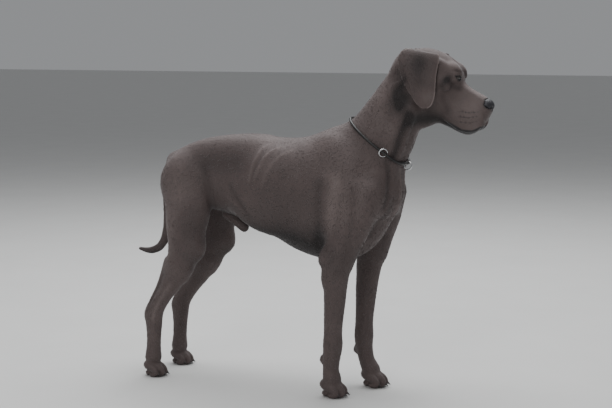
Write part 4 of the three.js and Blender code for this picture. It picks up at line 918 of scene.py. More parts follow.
def dress(made):
    """Gives a skin its painted light and shade, its few markings, its bare places and the size and lie of its hair.
    """
    mesh = made.data
    count = len(mesh.vertices)
    points = np.empty(count * 3)
    mesh.vertices.foreach_get("co", points)
    points = in_millimetres(points.reshape(-1, 3))
    normals = np.empty(count * 3)
    mesh.vertices.foreach_get("normal", normals)
    normals = normals.reshape(-1, 3)
    h = to_head(points)
    f = mirrored(h)
    m = mirrored(points)
    # Painted highlights and painted shade, with the whisker beads and the elbow callus, summed into one level per
    # point
    light_and_tone = np.zeros(count)
    for deep, centre, radii, turn in BODY_LIGHT_SHADE_AND_CALLUS:
        light_and_tone += deep * near_to(m, centre, radii, turn)
    for deep, centre, radii in HEAD_LIGHT_AND_SHADE_PATCHES:
        light_and_tone += deep * near_to(f, centre, radii)
    for bead in WHISKER_BEADS:
        light_and_tone -= 0.5 * near_to(f, bead, (2.6, 8, 2.6))
    for n, deep, radius in FOLD_HIGHLIGHTS_AND_SHADE:
        light_and_tone += deep * near_line(m, FOLDS[n], radius)
    for deep, radius, rows in HEAD_LIGHT_AND_SHADE_LINES:
        light_and_tone += deep * near_line(f, rows, radius)
    # painted shade in the hollow between two of the ripples behind the ribs
    light_and_tone -= 0.3 * near_line(m, [[118, -95, 795], [112, -118, 765], [98, -126, 735], [86, -132, 695]], 6)
    # a painted highlight along the ridge of the shin and painted shade in the groove before the hock's tendon
    light_and_tone += 0.3 * near_line(points, LEG_FOLDS[1], 6) - 0.35 * near_line(points, LEG_FOLDS[0], 7)
    # painted shade on the undersides: darker where the skin faces down, on the trunk and upper legs
    light_and_tone -= 0.8 * np.clip(-normals[:, 2] - 0.15, 0, 1) * (points[:, 2] > 380) * (points[:, 0] < 420)
    # darker towards the rear end, over the tail and the backs of the thighs
    light_and_tone -= 0.5 * np.clip((-300 - points[:, 0]) / 60, 0, 1) * (points[:, 2] > 380)
    on_face = (h[:, 0] > 60) & (h[:, 2] > -150)
    bare = np.zeros(count)
    q = f[on_face]
    under = np.interp(q[:, 0], (222, 240, 277, 306, 324), (-110, -108, -108, -94, -70)) - q[:, 2]
    lip = np.clip(under / 3, 0, 1) * np.clip((24 - under) / 6, 0, 1) * np.clip((q[:, 0] - 216) / 14, 0, 1)
    from_eye = np.linalg.norm(q - EYE, axis=1)
    rim = np.exp(-(((opening(q) + 0.6) / 2.4) ** 2)) * (from_eye < EYE_RADIUS + 5)
    socket = from_eye < EYE_RADIUS + 0.9
    by_nose = np.exp(-((np.maximum(nose_shape(q), 0) / 3) ** 2))
    bare[on_face] = np.clip(lip + rim + socket + by_nose, 0, 1)
    size = np.full(count, 1.0)
    size *= 1 - 0.55 * np.clip((h[:, 0] - 40) / 90, 0, 1) * (h[:, 2] > -170)
    size *= 1 - 0.45 * np.clip((130 - points[:, 2]) / 90, 0, 1)
    size *= 1 - np.clip(bare * 1.5, 0, 1)
    size *= 1 - 0.6 * np.clip((-350 - points[:, 0]) / 60, 0, 1)
    size *= 1 - 0.5 * np.clip(normals[:, 2] * 2 - 0.6, 0, 1) * (points[:, 2] > 650)
    size *= 1 - np.clip(1 - (points[:, 2] - 1) / 6, 0, 1)
    region = np.where(points[:, 0] > 150, 1, 2)
    region = np.where((points[:, 2] < 480) & (points[:, 0] > 250), 3, region)
    region = np.where((points[:, 2] < 560) & (points[:, 0] < -90), 4, region)
    region = np.where((h[:, 0] > -40) & (h[:, 2] > -190) & (points[:, 2] > 850), 5, region)
    for name, values in (("light_and_tone", light_and_tone), ("bare", bare), ("hair_size", size), ("region", region)):
        layer = mesh.attributes.new(name, "INT" if name == "region" else "FLOAT", "POINT")
        layer.data.foreach_set("value", values.astype(np.int32 if name == "region" else np.float32))
    way = mesh.attributes.new("lie", "FLOAT_VECTOR", "POINT")
    way.data.foreach_set("vector", hair_way(points, normals).astype(np.float32).ravel())


# ---- Nose and whiskers
# The nose is a pad of bare black leather, cut by two nostrils with a slit to the side and a groove
# down the middle. It sits in a pocket at the end of the muzzle.
nose_pad = fused(
    (mass([302, 0, -8], [23, 22, 19]), 1),
    (paired(mass([300, -15, -10], [17, 11, 15], [0, -12, 0])), 8),
    (paired(mass([323, -11, -9], [13, 5.0, 6.2], [0, 30, 0])), -3),
    (paired(mass([309, -23, -14], [12, 5, 3.2], [22, -16, 0])), -3),
    (mass([327, 0, -20], [8, 1.4, 14]), -3),
)
nose_shape = nose_pad[0]
dress(body_skin)
dress(head_skin)

nose_points, nose_faces = skinned(
    nose_shape, graded((274, 332, 1.15)), graded((-33, 33, 1.1)), graded((-34, 16, 1.15)), 8
)
nose = piece_of("nose_pad", from_head(nose_points), nose_faces)
for facet in nose.data.polygons:
    facet.use_smooth = True

# Whiskers: a few stiff dark hairs in three rows on each side of the muzzle, each from its own bead.
whisker_roots = []
for line, count in (
    ([[252, -44, -58], [275, -44, -51], [294, -40, -36]], 6),
    ([[254, -45, -75], [277, -45, -68], [298, -43, -50]], 6),
    ([[264, -44, -90], [288, -44, -80], [306, -42, -63]], 5),
):
    line = np.array(line, dtype=float)
    for n in range(count):
        t = 2 * n / (count - 1)
        a = min(int(t), 1)
        whisker_roots.append(line[a] + (line[a + 1] - line[a]) * (t - a))
whisker_roots = np.array(whisker_roots)
whisker_roots = np.concatenate([whisker_roots, whisker_roots * (1, -1, 1)])
whisker_roots = to_head(pulled(from_head(whisker_roots), skin, 4))
points, faces = [], []
for n, root in enumerate(whisker_roots):
    side = math.copysign(1, root[1])
    away = np.array([-0.35, side * 0.8, -0.25 + 0.06 * (n % 5)])
    away /= np.linalg.norm(away)
    first = np.cross(away, (0, 0, 1))
    first /= np.linalg.norm(first)
    second = np.cross(away, first)
    start = len(points)
    for run, r in ((-1.5, 1.2), (0.0, 1.25), (0.7, 0.8), (1.2, 0.26), (8, 0.22), (16, 0.15), (22, 0.06)):
        middle = root + away * run + np.array([-0.012, 0, -0.010]) * run * run
        for k in range(6):
            turn = math.pi * k / 3
            points.append(middle + r * (first * math.cos(turn) + second * math.sin(turn)))
    for i in range(6):
        for k in range(6):
            m = (k + 1) % 6
            faces.append((start + i * 6 + k, start + i * 6 + m, start + i * 6 + 6 + m, start + i * 6 + 6 + k))
    faces.append(tuple(start + k for k in range(6)))
    faces.append(tuple(start + 36 + k for k in range(6)))
whiskers = piece_of("whiskers", from_head(np.array(points)), faces)
faced_out(whiskers.data)


# ---- Coat, and the leather of the nose
# The coat is short glossy hair on dark skin, blue-grey with fine mottling. Bare skin, at the lips,
# the lids and round the nose, is nearly black and a little smoother.
def painted(name):
    made = bpy.data.materials.new(name)
    made.use_nodes = True
    return made, made.node_tree, made.node_tree.nodes["Principled BSDF"]


def node(tree, kind, **values):
    made = tree.nodes.new(kind)
    for key, value in values.items():
        if key in made.inputs:
            made.inputs[key].default_value = value
        else:
            setattr(made, key, value)
    return made


def attribute(tree, name):
    return node(tree, "ShaderNodeAttribute", attribute_name=name)


def fed(tree, sockets, values):
    """Links each value that is another node's output, and sets the others."""
    for socket, value in zip(sockets, values):
        if hasattr(value, "links"):
            tree.links.new(value, socket)
        else:
            socket.default_value = value


def mixed(tree, amount, under, over):
    made = node(tree, "ShaderNodeMix", data_type="RGBA")
    fed(tree, (made.inputs[0], made.inputs[6], made.inputs[7]), (amount, under, over))
    return made.outputs[2]


def sums(tree, kind, a, b=0.0, c=0.0):
    made = node(tree, "ShaderNodeMath", operation=kind)
    fed(tree, made.inputs, (a, b, c))
    return made.outputs[0]


# Grain: two scales of mottling and a fine height, used by the coat, the nose, the horn and the leather.
grain = bpy.data.node_groups.new("grain", "ShaderNodeTree")
for name, low in (("Coarse Scale", 30.0), ("Fine Scale", 900.0), ("Stretch", 1.0)):
    socket = grain.interface.new_socket(name, in_out="INPUT", socket_type="NodeSocketFloat")
    socket.default_value = low
for name in ("Mottle", "Height"):
    grain.interface.new_socket(name, in_out="OUTPUT", socket_type="NodeSocketFloat")
g_in = grain.nodes.new("NodeGroupInput")
g_out = grain.nodes.new("NodeGroupOutput")
g_place = grain.nodes.new("ShaderNodeTexCoord")
g_coarse = node(grain, "ShaderNodeTexNoise", Detail=4.0, Roughness=0.6)
g_fine = node(grain, "ShaderNodeTexNoise", Detail=3.0, Roughness=0.65)
g_map = grain.nodes.new("ShaderNodeMapping")
g_scale = grain.nodes.new("ShaderNodeCombineXYZ")
g_scale.inputs[0].default_value = g_scale.inputs[1].default_value = 1
grain.links.new(g_in.outputs["Stretch"], g_scale.inputs[2])
grain.links.new(g_scale.outputs[0], g_map.inputs["Scale"])
grain.links.new(g_place.outputs["Object"], g_map.inputs["Vector"])
grain.links.new(g_map.outputs[0], g_coarse.inputs["Vector"])
grain.links.new(g_map.outputs[0], g_fine.inputs["Vector"])
grain.links.new(g_in.outputs["Coarse Scale"], g_coarse.inputs["Scale"])
grain.links.new(g_in.outputs["Fine Scale"], g_fine.inputs["Scale"])
grain.links.new(g_coarse.outputs["Fac"], g_out.inputs["Mottle"])
grain.links.new(g_fine.outputs["Fac"], g_out.inputs["Height"])


def grained(tree, coarse, fine, stretch=1.0):
    made = tree.nodes.new("ShaderNodeGroup")
    made.node_tree = grain
    made.inputs["Coarse Scale"].default_value = coarse
    made.inputs["Fine Scale"].default_value = fine
    made.inputs["Stretch"].default_value = stretch
    return made


def celled(tree, scale, feature):
    place = tree.nodes.new("ShaderNodeTexCoord")
    made = node(tree, "ShaderNodeTexVoronoi", feature=feature, Scale=scale)
    tree.links.new(place.outputs["Object"], made.inputs["Vector"])
    return made.outputs["Distance"]


def surfaced(tree, shader, colour, roughness):
    tree.links.new(colour, shader.inputs["Base Color"])
    tree.links.new(roughness, shader.inputs["Roughness"])


def bumped(tree, height, strength, distance, shader):
    made = node(tree, "ShaderNodeBump", Strength=strength, Distance=distance)
    tree.links.new(height, made.inputs["Height"])
    tree.links.new(made.outputs[0], shader.inputs["Normal"])


# The pale and dark coat colours carry the painted highlights and painted shade as well as the mottling.
COAT = (0.092, 0.069, 0.066, 1)
COAT_PALE_AND_HIGHLIGHT = (0.25, 0.20, 0.19, 1)
COAT_DARK_AND_SHADE = (0.016, 0.012, 0.012, 1)
BARE = (0.012, 0.011, 0.013, 1)
coat, tree, shader = painted("blue coat")
g = grained(tree, 14.0, 520.0)
# The attribute of painted light and tone brings the painted highlights and painted shade, which are added to the
# mottling.
light_and_tone = attribute(tree, "light_and_tone").outputs["Fac"]
strand = attribute(tree, "strand").outputs["Fac"]
bare = attribute(tree, "bare").outputs["Fac"]
mottle = sums(tree, "MULTIPLY_ADD", g.outputs["Mottle"], 0.5, -0.25)
level = sums(tree, "ADD", light_and_tone, mottle)
level = sums(tree, "MULTIPLY_ADD", strand, 0.28, level)
paler = sums(tree, "MAXIMUM", level, 0.0)
darker = sums(tree, "MAXIMUM", sums(tree, "MULTIPLY", level, -1.0), 0.0)
colour = mixed(tree, paler, COAT, COAT_PALE_AND_HIGHLIGHT)
colour = mixed(tree, darker, colour, COAT_DARK_AND_SHADE)
colour = mixed(tree, bare, colour, BARE)
rough = sums(tree, "MULTIPLY_ADD", bare, -0.2, 0.6)
surfaced(tree, shader, colour, sums(tree, "MULTIPLY_ADD", g.outputs["Height"], 0.12, rough))
shader.inputs["Specular IOR Level"].default_value = 0.38
shader.inputs["Sheen Weight"].default_value = 0.22
shader.inputs["Sheen Roughness"].default_value = 0.35
shader.inputs["Sheen Tint"].default_value = (0.95, 0.93, 0.95, 1)
bumped(tree, g.outputs["Height"], 0.55, 0.0008, shader)

leather_nose, tree, shader = painted("nose leather")
g = grained(tree, 60.0, 420.0)
cells = celled(tree, 620.0, "F1")
colour = mixed(tree, g.outputs["Mottle"], (0.010, 0.010, 0.013, 1), (0.045, 0.043, 0.052, 1))
surfaced(tree, shader, colour, sums(tree, "MULTIPLY_ADD", g.outputs["Mottle"], 0.25, 0.34))
bumped(tree, cells, 0.6, 0.0006, shader)
nose.data.materials.append(leather_nose)

# ---- Eyes
# A wet ball with a clear bulge in front, a brown iris and a dark pupil, sunk behind the lids.
EYE_RINGS = 40


def eyeball(side):
    centre = EYE * (1, -side, 1)
    look = GAZE * (1, -side, 1)
    across = np.cross((0, 0, 1), look)
    across /= np.linalg.norm(across)
    up = np.cross(look, across)
    points, ring_of, faces = [centre + look * (EYE_RADIUS + 0.9)], [0.0], []
    sides = 40
    for i in range(1, EYE_RINGS):
        angle = math.pi * i / EYE_RINGS
        r = EYE_RADIUS + 0.9 * math.exp(-((angle / 0.5) ** 2))
        for n in range(sides):
            turn = 2 * math.pi * n / sides
            flat = across * math.cos(turn) + up * math.sin(turn)
            points.append(centre + r * (look * math.cos(angle) + flat * math.sin(angle)))
            ring_of.append(angle)
    points.append(centre - look * EYE_RADIUS)
    ring_of.append(math.pi)
    for n in range(sides):
        m = (n + 1) % sides
        faces.append((0, 1 + n, 1 + m))
        last = 1 + (EYE_RINGS - 2) * sides
        faces.append((last + m, last + n, len(points) - 1))
        for i in range(EYE_RINGS - 2):
            a, b = 1 + i * sides, 1 + (i + 1) * sides
            faces.append((a + n, b + n, b + m, a + m))
    made = piece_of("eyeball_" + ("right" if side > 0 else "left"), from_head(np.array(points)), faces)
    layer = made.data.attributes.new("from_gaze", "FLOAT", "POINT")
    layer.data.foreach_set("value", ring_of)
    faced_out(made.data)
    return made


wet_eye, tree, shader = painted("wet eye")
away = attribute(tree, "from_gaze").outputs["Fac"]
ramp = tree.nodes.new("ShaderNodeValToRGB")
stops = [
    (0.0, (0.002, 0.002, 0.002, 1)),
    (0.085, (0.002, 0.002, 0.002, 1)),
    (0.10, (0.020, 0.010, 0.005, 1)),
    (0.17, (0.038, 0.019, 0.009, 1)),
    (0.195, (0.006, 0.004, 0.003, 1)),
    (0.23, (0.022, 0.017, 0.016, 1)),
    (0.36, (0.06, 0.04, 0.036, 1)),
]
while len(ramp.color_ramp.elements) < len(stops):
    ramp.color_ramp.elements.new(0.5)
for element, (at, shade) in zip(ramp.color_ramp.elements, stops):
    element.position = at
    element.color = shade
tree.links.new(sums(tree, "DIVIDE", away, math.pi), ramp.inputs["Fac"])
g = grained(tree, 500.0, 1800.0)
flecks = sums(tree, "MULTIPLY", g.outputs["Mottle"], 0.5)
colour = mixed(tree, flecks, ramp.outputs["Color"], (0.004, 0.003, 0.003, 1))
surfaced(tree, shader, colour, sums(tree, "MULTIPLY_ADD", g.outputs["Height"], 0.03, 0.03))
shader.inputs["Coat Weight"].default_value = 1.0
shader.inputs["Coat Roughness"].default_value = 0.02
for side, word in ((1, "right"), (-1, "left")):
    ball = eyeball(side)
    ball.data.materials.append(wet_eye)
    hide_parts("eye_" + word)
    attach(ball, "root")

whiskers.data.materials.append(leather_nose)
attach(whiskers, "root")
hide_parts("nose")
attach(nose, "root")

# ---- Claws
# Four blunt curved claws on each foot: dark horn with fine growth lines, grown out of the toe tips.
horn, tree, shader = painted("claw horn")
g = grained(tree, 160.0, 700.0, 3.0)
colour = mixed(tree, g.outputs["Mottle"], (0.016, 0.013, 0.014, 1), (0.075, 0.062, 0.06, 1))
surfaced(tree, shader, colour, sums(tree, "MULTIPLY_ADD", g.outputs["Height"], 0.3, 0.25))
bumped(tree, g.outputs["Height"], 0.4, 0.0004, shader)
CLAW_ROWS = smooth_rows(
    [[-4, 1, 5.0], [2, 0, 4.9], [8, -1.8, 4.3], [13, -5, 3.1], [16.4, -8.6, 1.5], [17.2, -9.8, 0.5]], 4
)
CLAW_SIDES = 14
for name, (x, y, size) in zip(("forepaw_right", "forepaw_left", "hind_paw_right", "hind_paw_left"), FEET):
    points, faces = [], []
    for out, ahead, toe in TOES:
        first = len(points)
        at = np.array([x + size * (ahead + 38 * toe), y + size * out, 17 * size * toe])
        for forward, up, r in CLAW_ROWS:
            for n in range(CLAW_SIDES):
                turn = 2 * math.pi * n / CLAW_SIDES
                offset = np.array([forward, 0.78 * r * math.cos(turn), up + r * math.sin(turn)])
                points.append(at + size * offset)
        rings = len(CLAW_ROWS)
        for i in range(rings - 1):
            for n in range(CLAW_SIDES):
                m = (n + 1) % CLAW_SIDES
                a, b = first + i * CLAW_SIDES, first + (i + 1) * CLAW_SIDES
                faces.append((a + n, a + m, b + m, b + n))
        faces.append(tuple(first + n for n in reversed(range(CLAW_SIDES))))
        faces.append(tuple(first + (rings - 1) * CLAW_SIDES + n for n in range(CLAW_SIDES)))
    claws = piece_of("claws_" + name, np.array(points), faces)
    faced_out(claws.data)
    claws.data.materials.append(horn)
    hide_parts(*[f"{name}_claw_{n}" for n in (1, 2, 3, 4)])
    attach(claws, "root")

# ---- Collar
# A round rolled leather cord, doubled where it is sewn back round the front ring, and two welded
# steel rings: one lies flat on the near side of the neck and one stands at the throat.
CORD = 4.2
fore = np.array([0.8, 0, -0.6])


def on_neck(turns, lift):
    outward = np.cos(turns)[:, None] * fore + np.sin(turns)[:, None] * np.array([0, 1, 0])
    near, far = np.full(len(turns), 20.0), np.full(len(turns), 220.0)
    for _ in range(26):
        half = (near + far) / 2
        inside = flesh[0](COLLAR_POINT + outward * half[:, None]) < lift
        near, far = np.where(inside, half, near), np.where(inside, far, half)
    return COLLAR_POINT + outward * near[:, None]


def rope(name, path, radii, sides=16, closed=True):
    """A round bar of changing radius along a path, closed on itself or capped at both ends."""
    count = len(path)
    ahead = np.roll(path, -1, 0) - np.roll(path, 1, 0)
    if not closed:
        ahead[0], ahead[-1] = path[1] - path[0], path[-1] - path[-2]
    ahead /= np.linalg.norm(ahead, axis=1)[:, None]
    out = path - path.mean(0)
    out -= (out * ahead).sum(1)[:, None] * ahead
    out /= np.linalg.norm(out, axis=1)[:, None]
    across = np.cross(ahead, out)
    turns = 2 * np.pi * np.arange(sides) / sides
    circle = np.cos(turns)[None, :, None] * out[:, None] + np.sin(turns)[None, :, None] * across[:, None]
    points = (path[:, None] + circle * np.asarray(radii)[:, None, None]).reshape(-1, 3)
    faces = []
    for i in range(count if closed else count - 1):
        j = (i + 1) % count
        for n in range(sides):
            m = (n + 1) % sides
            faces.append((i * sides + n, j * sides + n, j * sides + m, i * sides + m))
    if not closed:
        faces.append(tuple(range(sides)))
        faces.append(tuple((count - 1) * sides + n for n in reversed(range(sides))))
    made = piece_of(name, points, faces)
    faced_out(made.data)
    return made


SIDE_RING, FRONT_RING = -0.9, -0.04
RING_RADIUS, RING_BAR = 13.3, 2.2
turns = 2 * np.pi * np.arange(240) / 240 - np.pi + FRONT_RING
from_front = np.abs(turns - FRONT_RING)
radii = CORD + 1.3 * np.exp(-(((from_front - 0.19) / 0.12) ** 6)) - 0.9 * np.exp(-((from_front / 0.045) ** 2))
radii = radii + 0.06 * np.sin(turns * 170)
collar = rope("collar_cord", on_neck(turns, CORD + 0.4), radii)
leather, tree, shader = painted("collar leather")
g = grained(tree, 120.0, 760.0)
creases = celled(tree, 900.0, "DISTANCE_TO_EDGE")
colour = mixed(tree, g.outputs["Mottle"], (0.006, 0.006, 0.006, 1), (0.022, 0.020, 0.020, 1))
surfaced(tree, shader, colour, sums(tree, "MULTIPLY_ADD", g.outputs["Mottle"], 0.3, 0.3))
height = sums(tree, "MULTIPLY_ADD", g.outputs["Height"], 0.5, sums(tree, "MINIMUM", creases, 0.12))
bumped(tree, height, 0.5, 0.0004, shader)
collar.data.materials.append(leather)
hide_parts("collar")
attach(collar, "root")

steel, tree, shader = painted("polished steel")
g = grained(tree, 220.0, 2600.0)
colour = mixed(tree, g.outputs["Mottle"], (0.52, 0.53, 0.55, 1), (0.74, 0.74, 0.74, 1))
surfaced(tree, shader, colour, sums(tree, "MULTIPLY_ADD", g.outputs["Mottle"], 0.22, 0.12))
shader.inputs["Metallic"].default_value = 1
bumped(tree, g.outputs["Height"], 0.08, 0.0002, shader)
for turn, standing, word in ((SIDE_RING, False, "side"), (FRONT_RING, True, "front")):
    spots = on_neck(np.array([turn - 0.05, turn, turn + 0.05]), CORD + 0.5)
    centre = spots[1]
    outward = on_neck(np.array([turn]), CORD + 20)[0] - centre
    outward /= np.linalg.norm(outward)
    onward = (spots[2] - spots[0]) / np.linalg.norm(spots[2] - spots[0])
    facing = onward if standing else outward
    if standing:
        centre = centre + outward * (RING_RADIUS - 4)
    first = np.cross(facing, (0.3, 0.2, 0.93))
    first /= np.linalg.norm(first)
    second = np.cross(facing, first)
    angles = 2 * np.pi * np.arange(72) / 72
    path = centre + RING_RADIUS * (np.cos(angles)[:, None] * first + np.sin(angles)[:, None] * second)
    weld = 0.35 * np.exp(-((np.minimum(angles, 2 * np.pi - angles) / 0.09) ** 2))
    ring = rope("collar_ring_of_" + word, path, RING_BAR + weld, 18)
    ring.data.materials.append(steel)
    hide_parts("collar_ring_" + word)
    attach(ring, "root")

# ---- Hair
# Short flat hair. Small tapered tufts lie along the body, overlap, and lift a little at the edges.
hair = bpy.data.node_groups.new("tufts", "GeometryNodeTree")
hair.interface.new_socket("Geometry", in_out="INPUT", socket_type="NodeSocketGeometry")
for name, kind, value in (
    ("Region", "NodeSocketInt", 1),
    ("Tufts per Square Metre", "NodeSocketFloat", 30000.0),
    ("Length", "NodeSocketFloat", 0.012),
    ("Width", "NodeSocketFloat", 0.0024),
    ("Seed", "NodeSocketInt", 1),
    ("Material", "NodeSocketMaterial", None),
):
    socket = hair.interface.new_socket(name, in_out="INPUT", socket_type=kind)
    if value is not None:
        socket.default_value = value
hair.interface.new_socket("Geometry", in_out="OUTPUT", socket_type="NodeSocketGeometry")
h_in, h_out = hair.nodes.new("NodeGroupInput"), hair.nodes.new("NodeGroupOutput")


def named(name, kind="FLOAT"):
    return node(hair, "GeometryNodeInputNamedAttribute", data_type=kind, Name=name).outputs["Attribute"]


def join(a, b):
    hair.links.new(a, b)


# One tuft, a metre long: a thin tapered blade of three sides, curved down to its tip.
blade = bpy.data.meshes.new("tuft blade")
BLADE = []
PATCH_LONG, PATCH_WIDE, PATCH_TALL = 0.0026, 0.0024, 0.0006
for at, wide, tall, lift in ((0, 0.4, 0.3, -0.4), (0.5, 0.5, 0.45, 0.0)):
    BLADE += [(at, -wide, lift), (at, wide, lift), (at, 0, lift + tall)]
BLADE.append((1, 0, 0.1))
blade_faces = [(0, 2, 1)]
for n in range(3):
    m = (n + 1) % 3
    blade_faces.append((n, m, 3 + m, 3 + n))
blade_faces += [(3, 4, 6), (4, 5, 6), (5, 3, 6)]
blade.from_pydata(BLADE, [], blade_faces)
faced_out(blade)
patch = blade.attributes.new("patch", "FLOAT_VECTOR", "POINT")
spread = [[(x - 0.5) * PATCH_LONG, y * PATCH_WIDE + z * PATCH_TALL, 0] for x, y, z in BLADE]
patch.data.foreach_set("vector", np.array(spread).ravel())
blade_object = bpy.data.objects.new("tuft_pattern", blade)

scatter = node(hair, "GeometryNodeDistributePointsOnFaces", distribute_method="RANDOM")
here = node(hair, "FunctionNodeCompare", data_type="INT", operation="EQUAL")
join(named("region", "INT"), here.inputs[2])
join(h_in.outputs["Region"], here.inputs[3])
BALD_BELOW = 0.12
keep = node(hair, "FunctionNodeCompare", data_type="FLOAT", operation="GREATER_THAN")
join(named("hair_size"), keep.inputs[0])
keep.inputs[1].default_value = BALD_BELOW
both = node(hair, "FunctionNodeBooleanMath", operation="AND")
join(here.outputs[0], both.inputs[0])
join(keep.outputs[0], both.inputs[1])
join(h_in.outputs["Geometry"], scatter.inputs["Mesh"])
join(both.outputs[0], scatter.inputs["Selection"])
SMALLEST_SET = 0.3
at_least = sums(hair, "MAXIMUM", named("hair_size"), SMALLEST_SET)
thick_set = sums(hair, "DIVIDE", h_in.outputs["Tufts per Square Metre"], at_least)
join(thick_set, scatter.inputs["Density"])
join(h_in.outputs["Seed"], scatter.inputs["Seed"])

along = node(hair, "FunctionNodeAlignRotationToVector", axis="X")
join(named("lie", "FLOAT_VECTOR"), along.inputs["Vector"])
upright = node(hair, "FunctionNodeAlignRotationToVector", axis="Z", pivot_axis="X")
join(along.outputs[0], upright.inputs["Rotation"])
join(scatter.outputs["Normal"], upright.inputs["Vector"])


def drawn(kind, low, high, seed):
    made = node(hair, "FunctionNodeRandomValue", data_type=kind)
    made.inputs["Seed"].default_value = seed
    first = 2 if kind == "FLOAT" else 0
    made.inputs[first].default_value, made.inputs[first + 1].default_value = low, high
    return made.outputs[first // 2]


stray = node(hair, "FunctionNodeRotateRotation", rotation_space="LOCAL")
join(upright.outputs[0], stray.inputs["Rotation"])
join(drawn("FLOAT_VECTOR", (-0.08, -0.05, -0.2), (0.08, 0.01, 0.2), 11), stray.inputs["Rotate By"])
sizes = hair.nodes.new("ShaderNodeCombineXYZ")
TUFT_HEIGHT = 0.0012
own = sums(hair, "MULTIPLY", named("hair_size"), drawn("FLOAT", 0.7, 1.25, 12))
join(sums(hair, "MULTIPLY", own, h_in.outputs["Length"]), sizes.inputs[0])
join(sums(hair, "MULTIPLY", own, h_in.outputs["Width"]), sizes.inputs[1])
join(sums(hair, "MULTIPLY", own, TUFT_HEIGHT), sizes.inputs[2])
pattern = hair.nodes.new("GeometryNodeObjectInfo")
pattern.inputs["Object"].default_value = blade_object
planted = hair.nodes.new("GeometryNodeInstanceOnPoints")
rooted = node(hair, "GeometryNodeStoreNamedAttribute", data_type="FLOAT", domain="POINT", Name="strand")
join(scatter.outputs["Points"], rooted.inputs["Geometry"])
join(drawn("FLOAT", -0.5, 0.5, 13), rooted.inputs["Value"])
join(rooted.outputs[0], planted.inputs["Points"])
join(pattern.outputs["Geometry"], planted.inputs["Instance"])
join(stray.outputs[0], planted.inputs["Rotation"])
join(sizes.outputs[0], planted.inputs["Scale"])
real = hair.nodes.new("GeometryNodeRealizeInstances")
join(planted.outputs[0], real.inputs["Geometry"])
patched = node(hair, "ShaderNodeVectorMath", operation="ADD")
join(named("root_place", "FLOAT_VECTOR"), patched.inputs[0])
join(named("patch", "FLOAT_VECTOR"), patched.inputs[1])
mapped = node(hair, "GeometryNodeStoreNamedAttribute", data_type="FLOAT2", domain="CORNER", Name="OFBake")
join(real.outputs[0], mapped.inputs["Geometry"])
join(patched.outputs[0], mapped.inputs["Value"])
finish = hair.nodes.new("GeometryNodeSetMaterial")
join(mapped.outputs[0], finish.inputs["Geometry"])
join(h_in.outputs["Material"], finish.inputs["Material"])
join(finish.outputs[0], h_out.inputs["Geometry"])


def unwrapped(made):
    """An unwrap of the skin's own shape: each limb and side is laid out flat in its own square."""
    mesh = made.data
    points = in_millimetres([v.co for v in mesh.vertices])
    middles = in_millimetres([f.center for f in mesh.polygons])
    normals = np.array([f.normal for f in mesh.polygons])
    h = to_head(middles)
    left = middles[:, 1] > 4
    part = np.where(left, 1, 0)
    part = np.where((middles[:, 2] < 480) & (middles[:, 0] > 250), 2 + left, part)
    part = np.where((middles[:, 2] < 560) & (middles[:, 0] < -90), 4 + left, part)
    part = np.where((middles[:, 0] < -275) & (np.abs(middles[:, 1]) < 40) & (middles[:, 2] > 380), 6, part)
    part = np.where((h[:, 0] > -20) & (h[:, 2] > -180) & (middles[:, 2] > 850), 7, part)
    axis = np.abs(normals).argmax(1)
    facing = axis * 2 + (normals[np.arange(len(axis)), axis] > 0)
    chart = part * 6 + facing
    loops = np.empty(len(mesh.loops), dtype=np.int64)
    mesh.loops.foreach_get("vertex_index", loops)
    starts = np.repeat(np.arange(len(mesh.polygons)), [f.loop_total for f in mesh.polygons])
    flat = np.empty((len(loops), 2))
    place = points[loops]
    for a, pair in enumerate(((1, 2), (0, 2), (0, 1))):
        chosen = axis[starts] == a
        flat[chosen] = place[chosen][:, pair]
    uv = np.zeros_like(flat)
    for n, name in enumerate(np.unique(chart)):
        chosen = chart[starts] == name
        low = flat[chosen].min(0)
        span = max((flat[chosen] - low).max(), 1)
        uv[chosen] = (np.array([n % 7, n // 7]) + 0.04 + 0.92 * (flat[chosen] - low) / span) / 7
    layer = mesh.uv_layers.new(name="OFBake")
    layer.data.foreach_set("uv", uv.ravel())
    root = mesh.attributes.new("root_place", "FLOAT_VECTOR", "CORNER")
    root.data.foreach_set("vector", np.column_stack([uv, np.zeros(len(uv))]).ravel())


unwrapped(body_skin)
unwrapped(head_skin)
SETTING = {item.name: item.identifier for item in hair.interface.items_tree if item.in_out == "INPUT"}
for name, base, settings in (
    ("chest_hair", body_skin, (1, 21000.0, 0.0100, 0.0019, 21)),
    ("rump_hair", body_skin, (2, 21000.0, 0.0100, 0.0019, 22)),
    ("foreleg_hair", body_skin, (3, 26000.0, 0.0090, 0.0018, 23)),
    ("hind_leg_hair", body_skin, (4, 26000.0, 0.0090, 0.0018, 24)),
    ("neck_hair", head_skin, (1, 24000.0, 0.0085, 0.0017, 25)),
    ("head_hair", head_skin, (5, 30000.0, 0.0080, 0.0016, 26)),
):
    work = base.copy()
    work.data = base.data.copy()
    bpy.context.scene.collection.objects.link(work)
    grower = work.modifiers.new("tufts", "NODES")
    grower.node_group = hair
    wanted = zip(("Region", "Tufts per Square Metre", "Length", "Width", "Seed", "Material"), settings + (coat,))
    for label, value in wanted:
        grower[SETTING[label]] = value
    bpy.context.view_layer.update()
    grown = work.evaluated_get(bpy.context.evaluated_depsgraph_get())
    mesh = bpy.data.meshes.new_from_object(grown)
    bpy.data.objects.remove(work)
    for unused in ("lie", "patch", "root_place", "hair_size", "region"):
        if unused in mesh.attributes:
            mesh.attributes.remove(mesh.attributes[unused])
    tuft_piece = placed(name, mesh)
    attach(tuft_piece, "root")
bpy.data.objects.remove(blade_object)

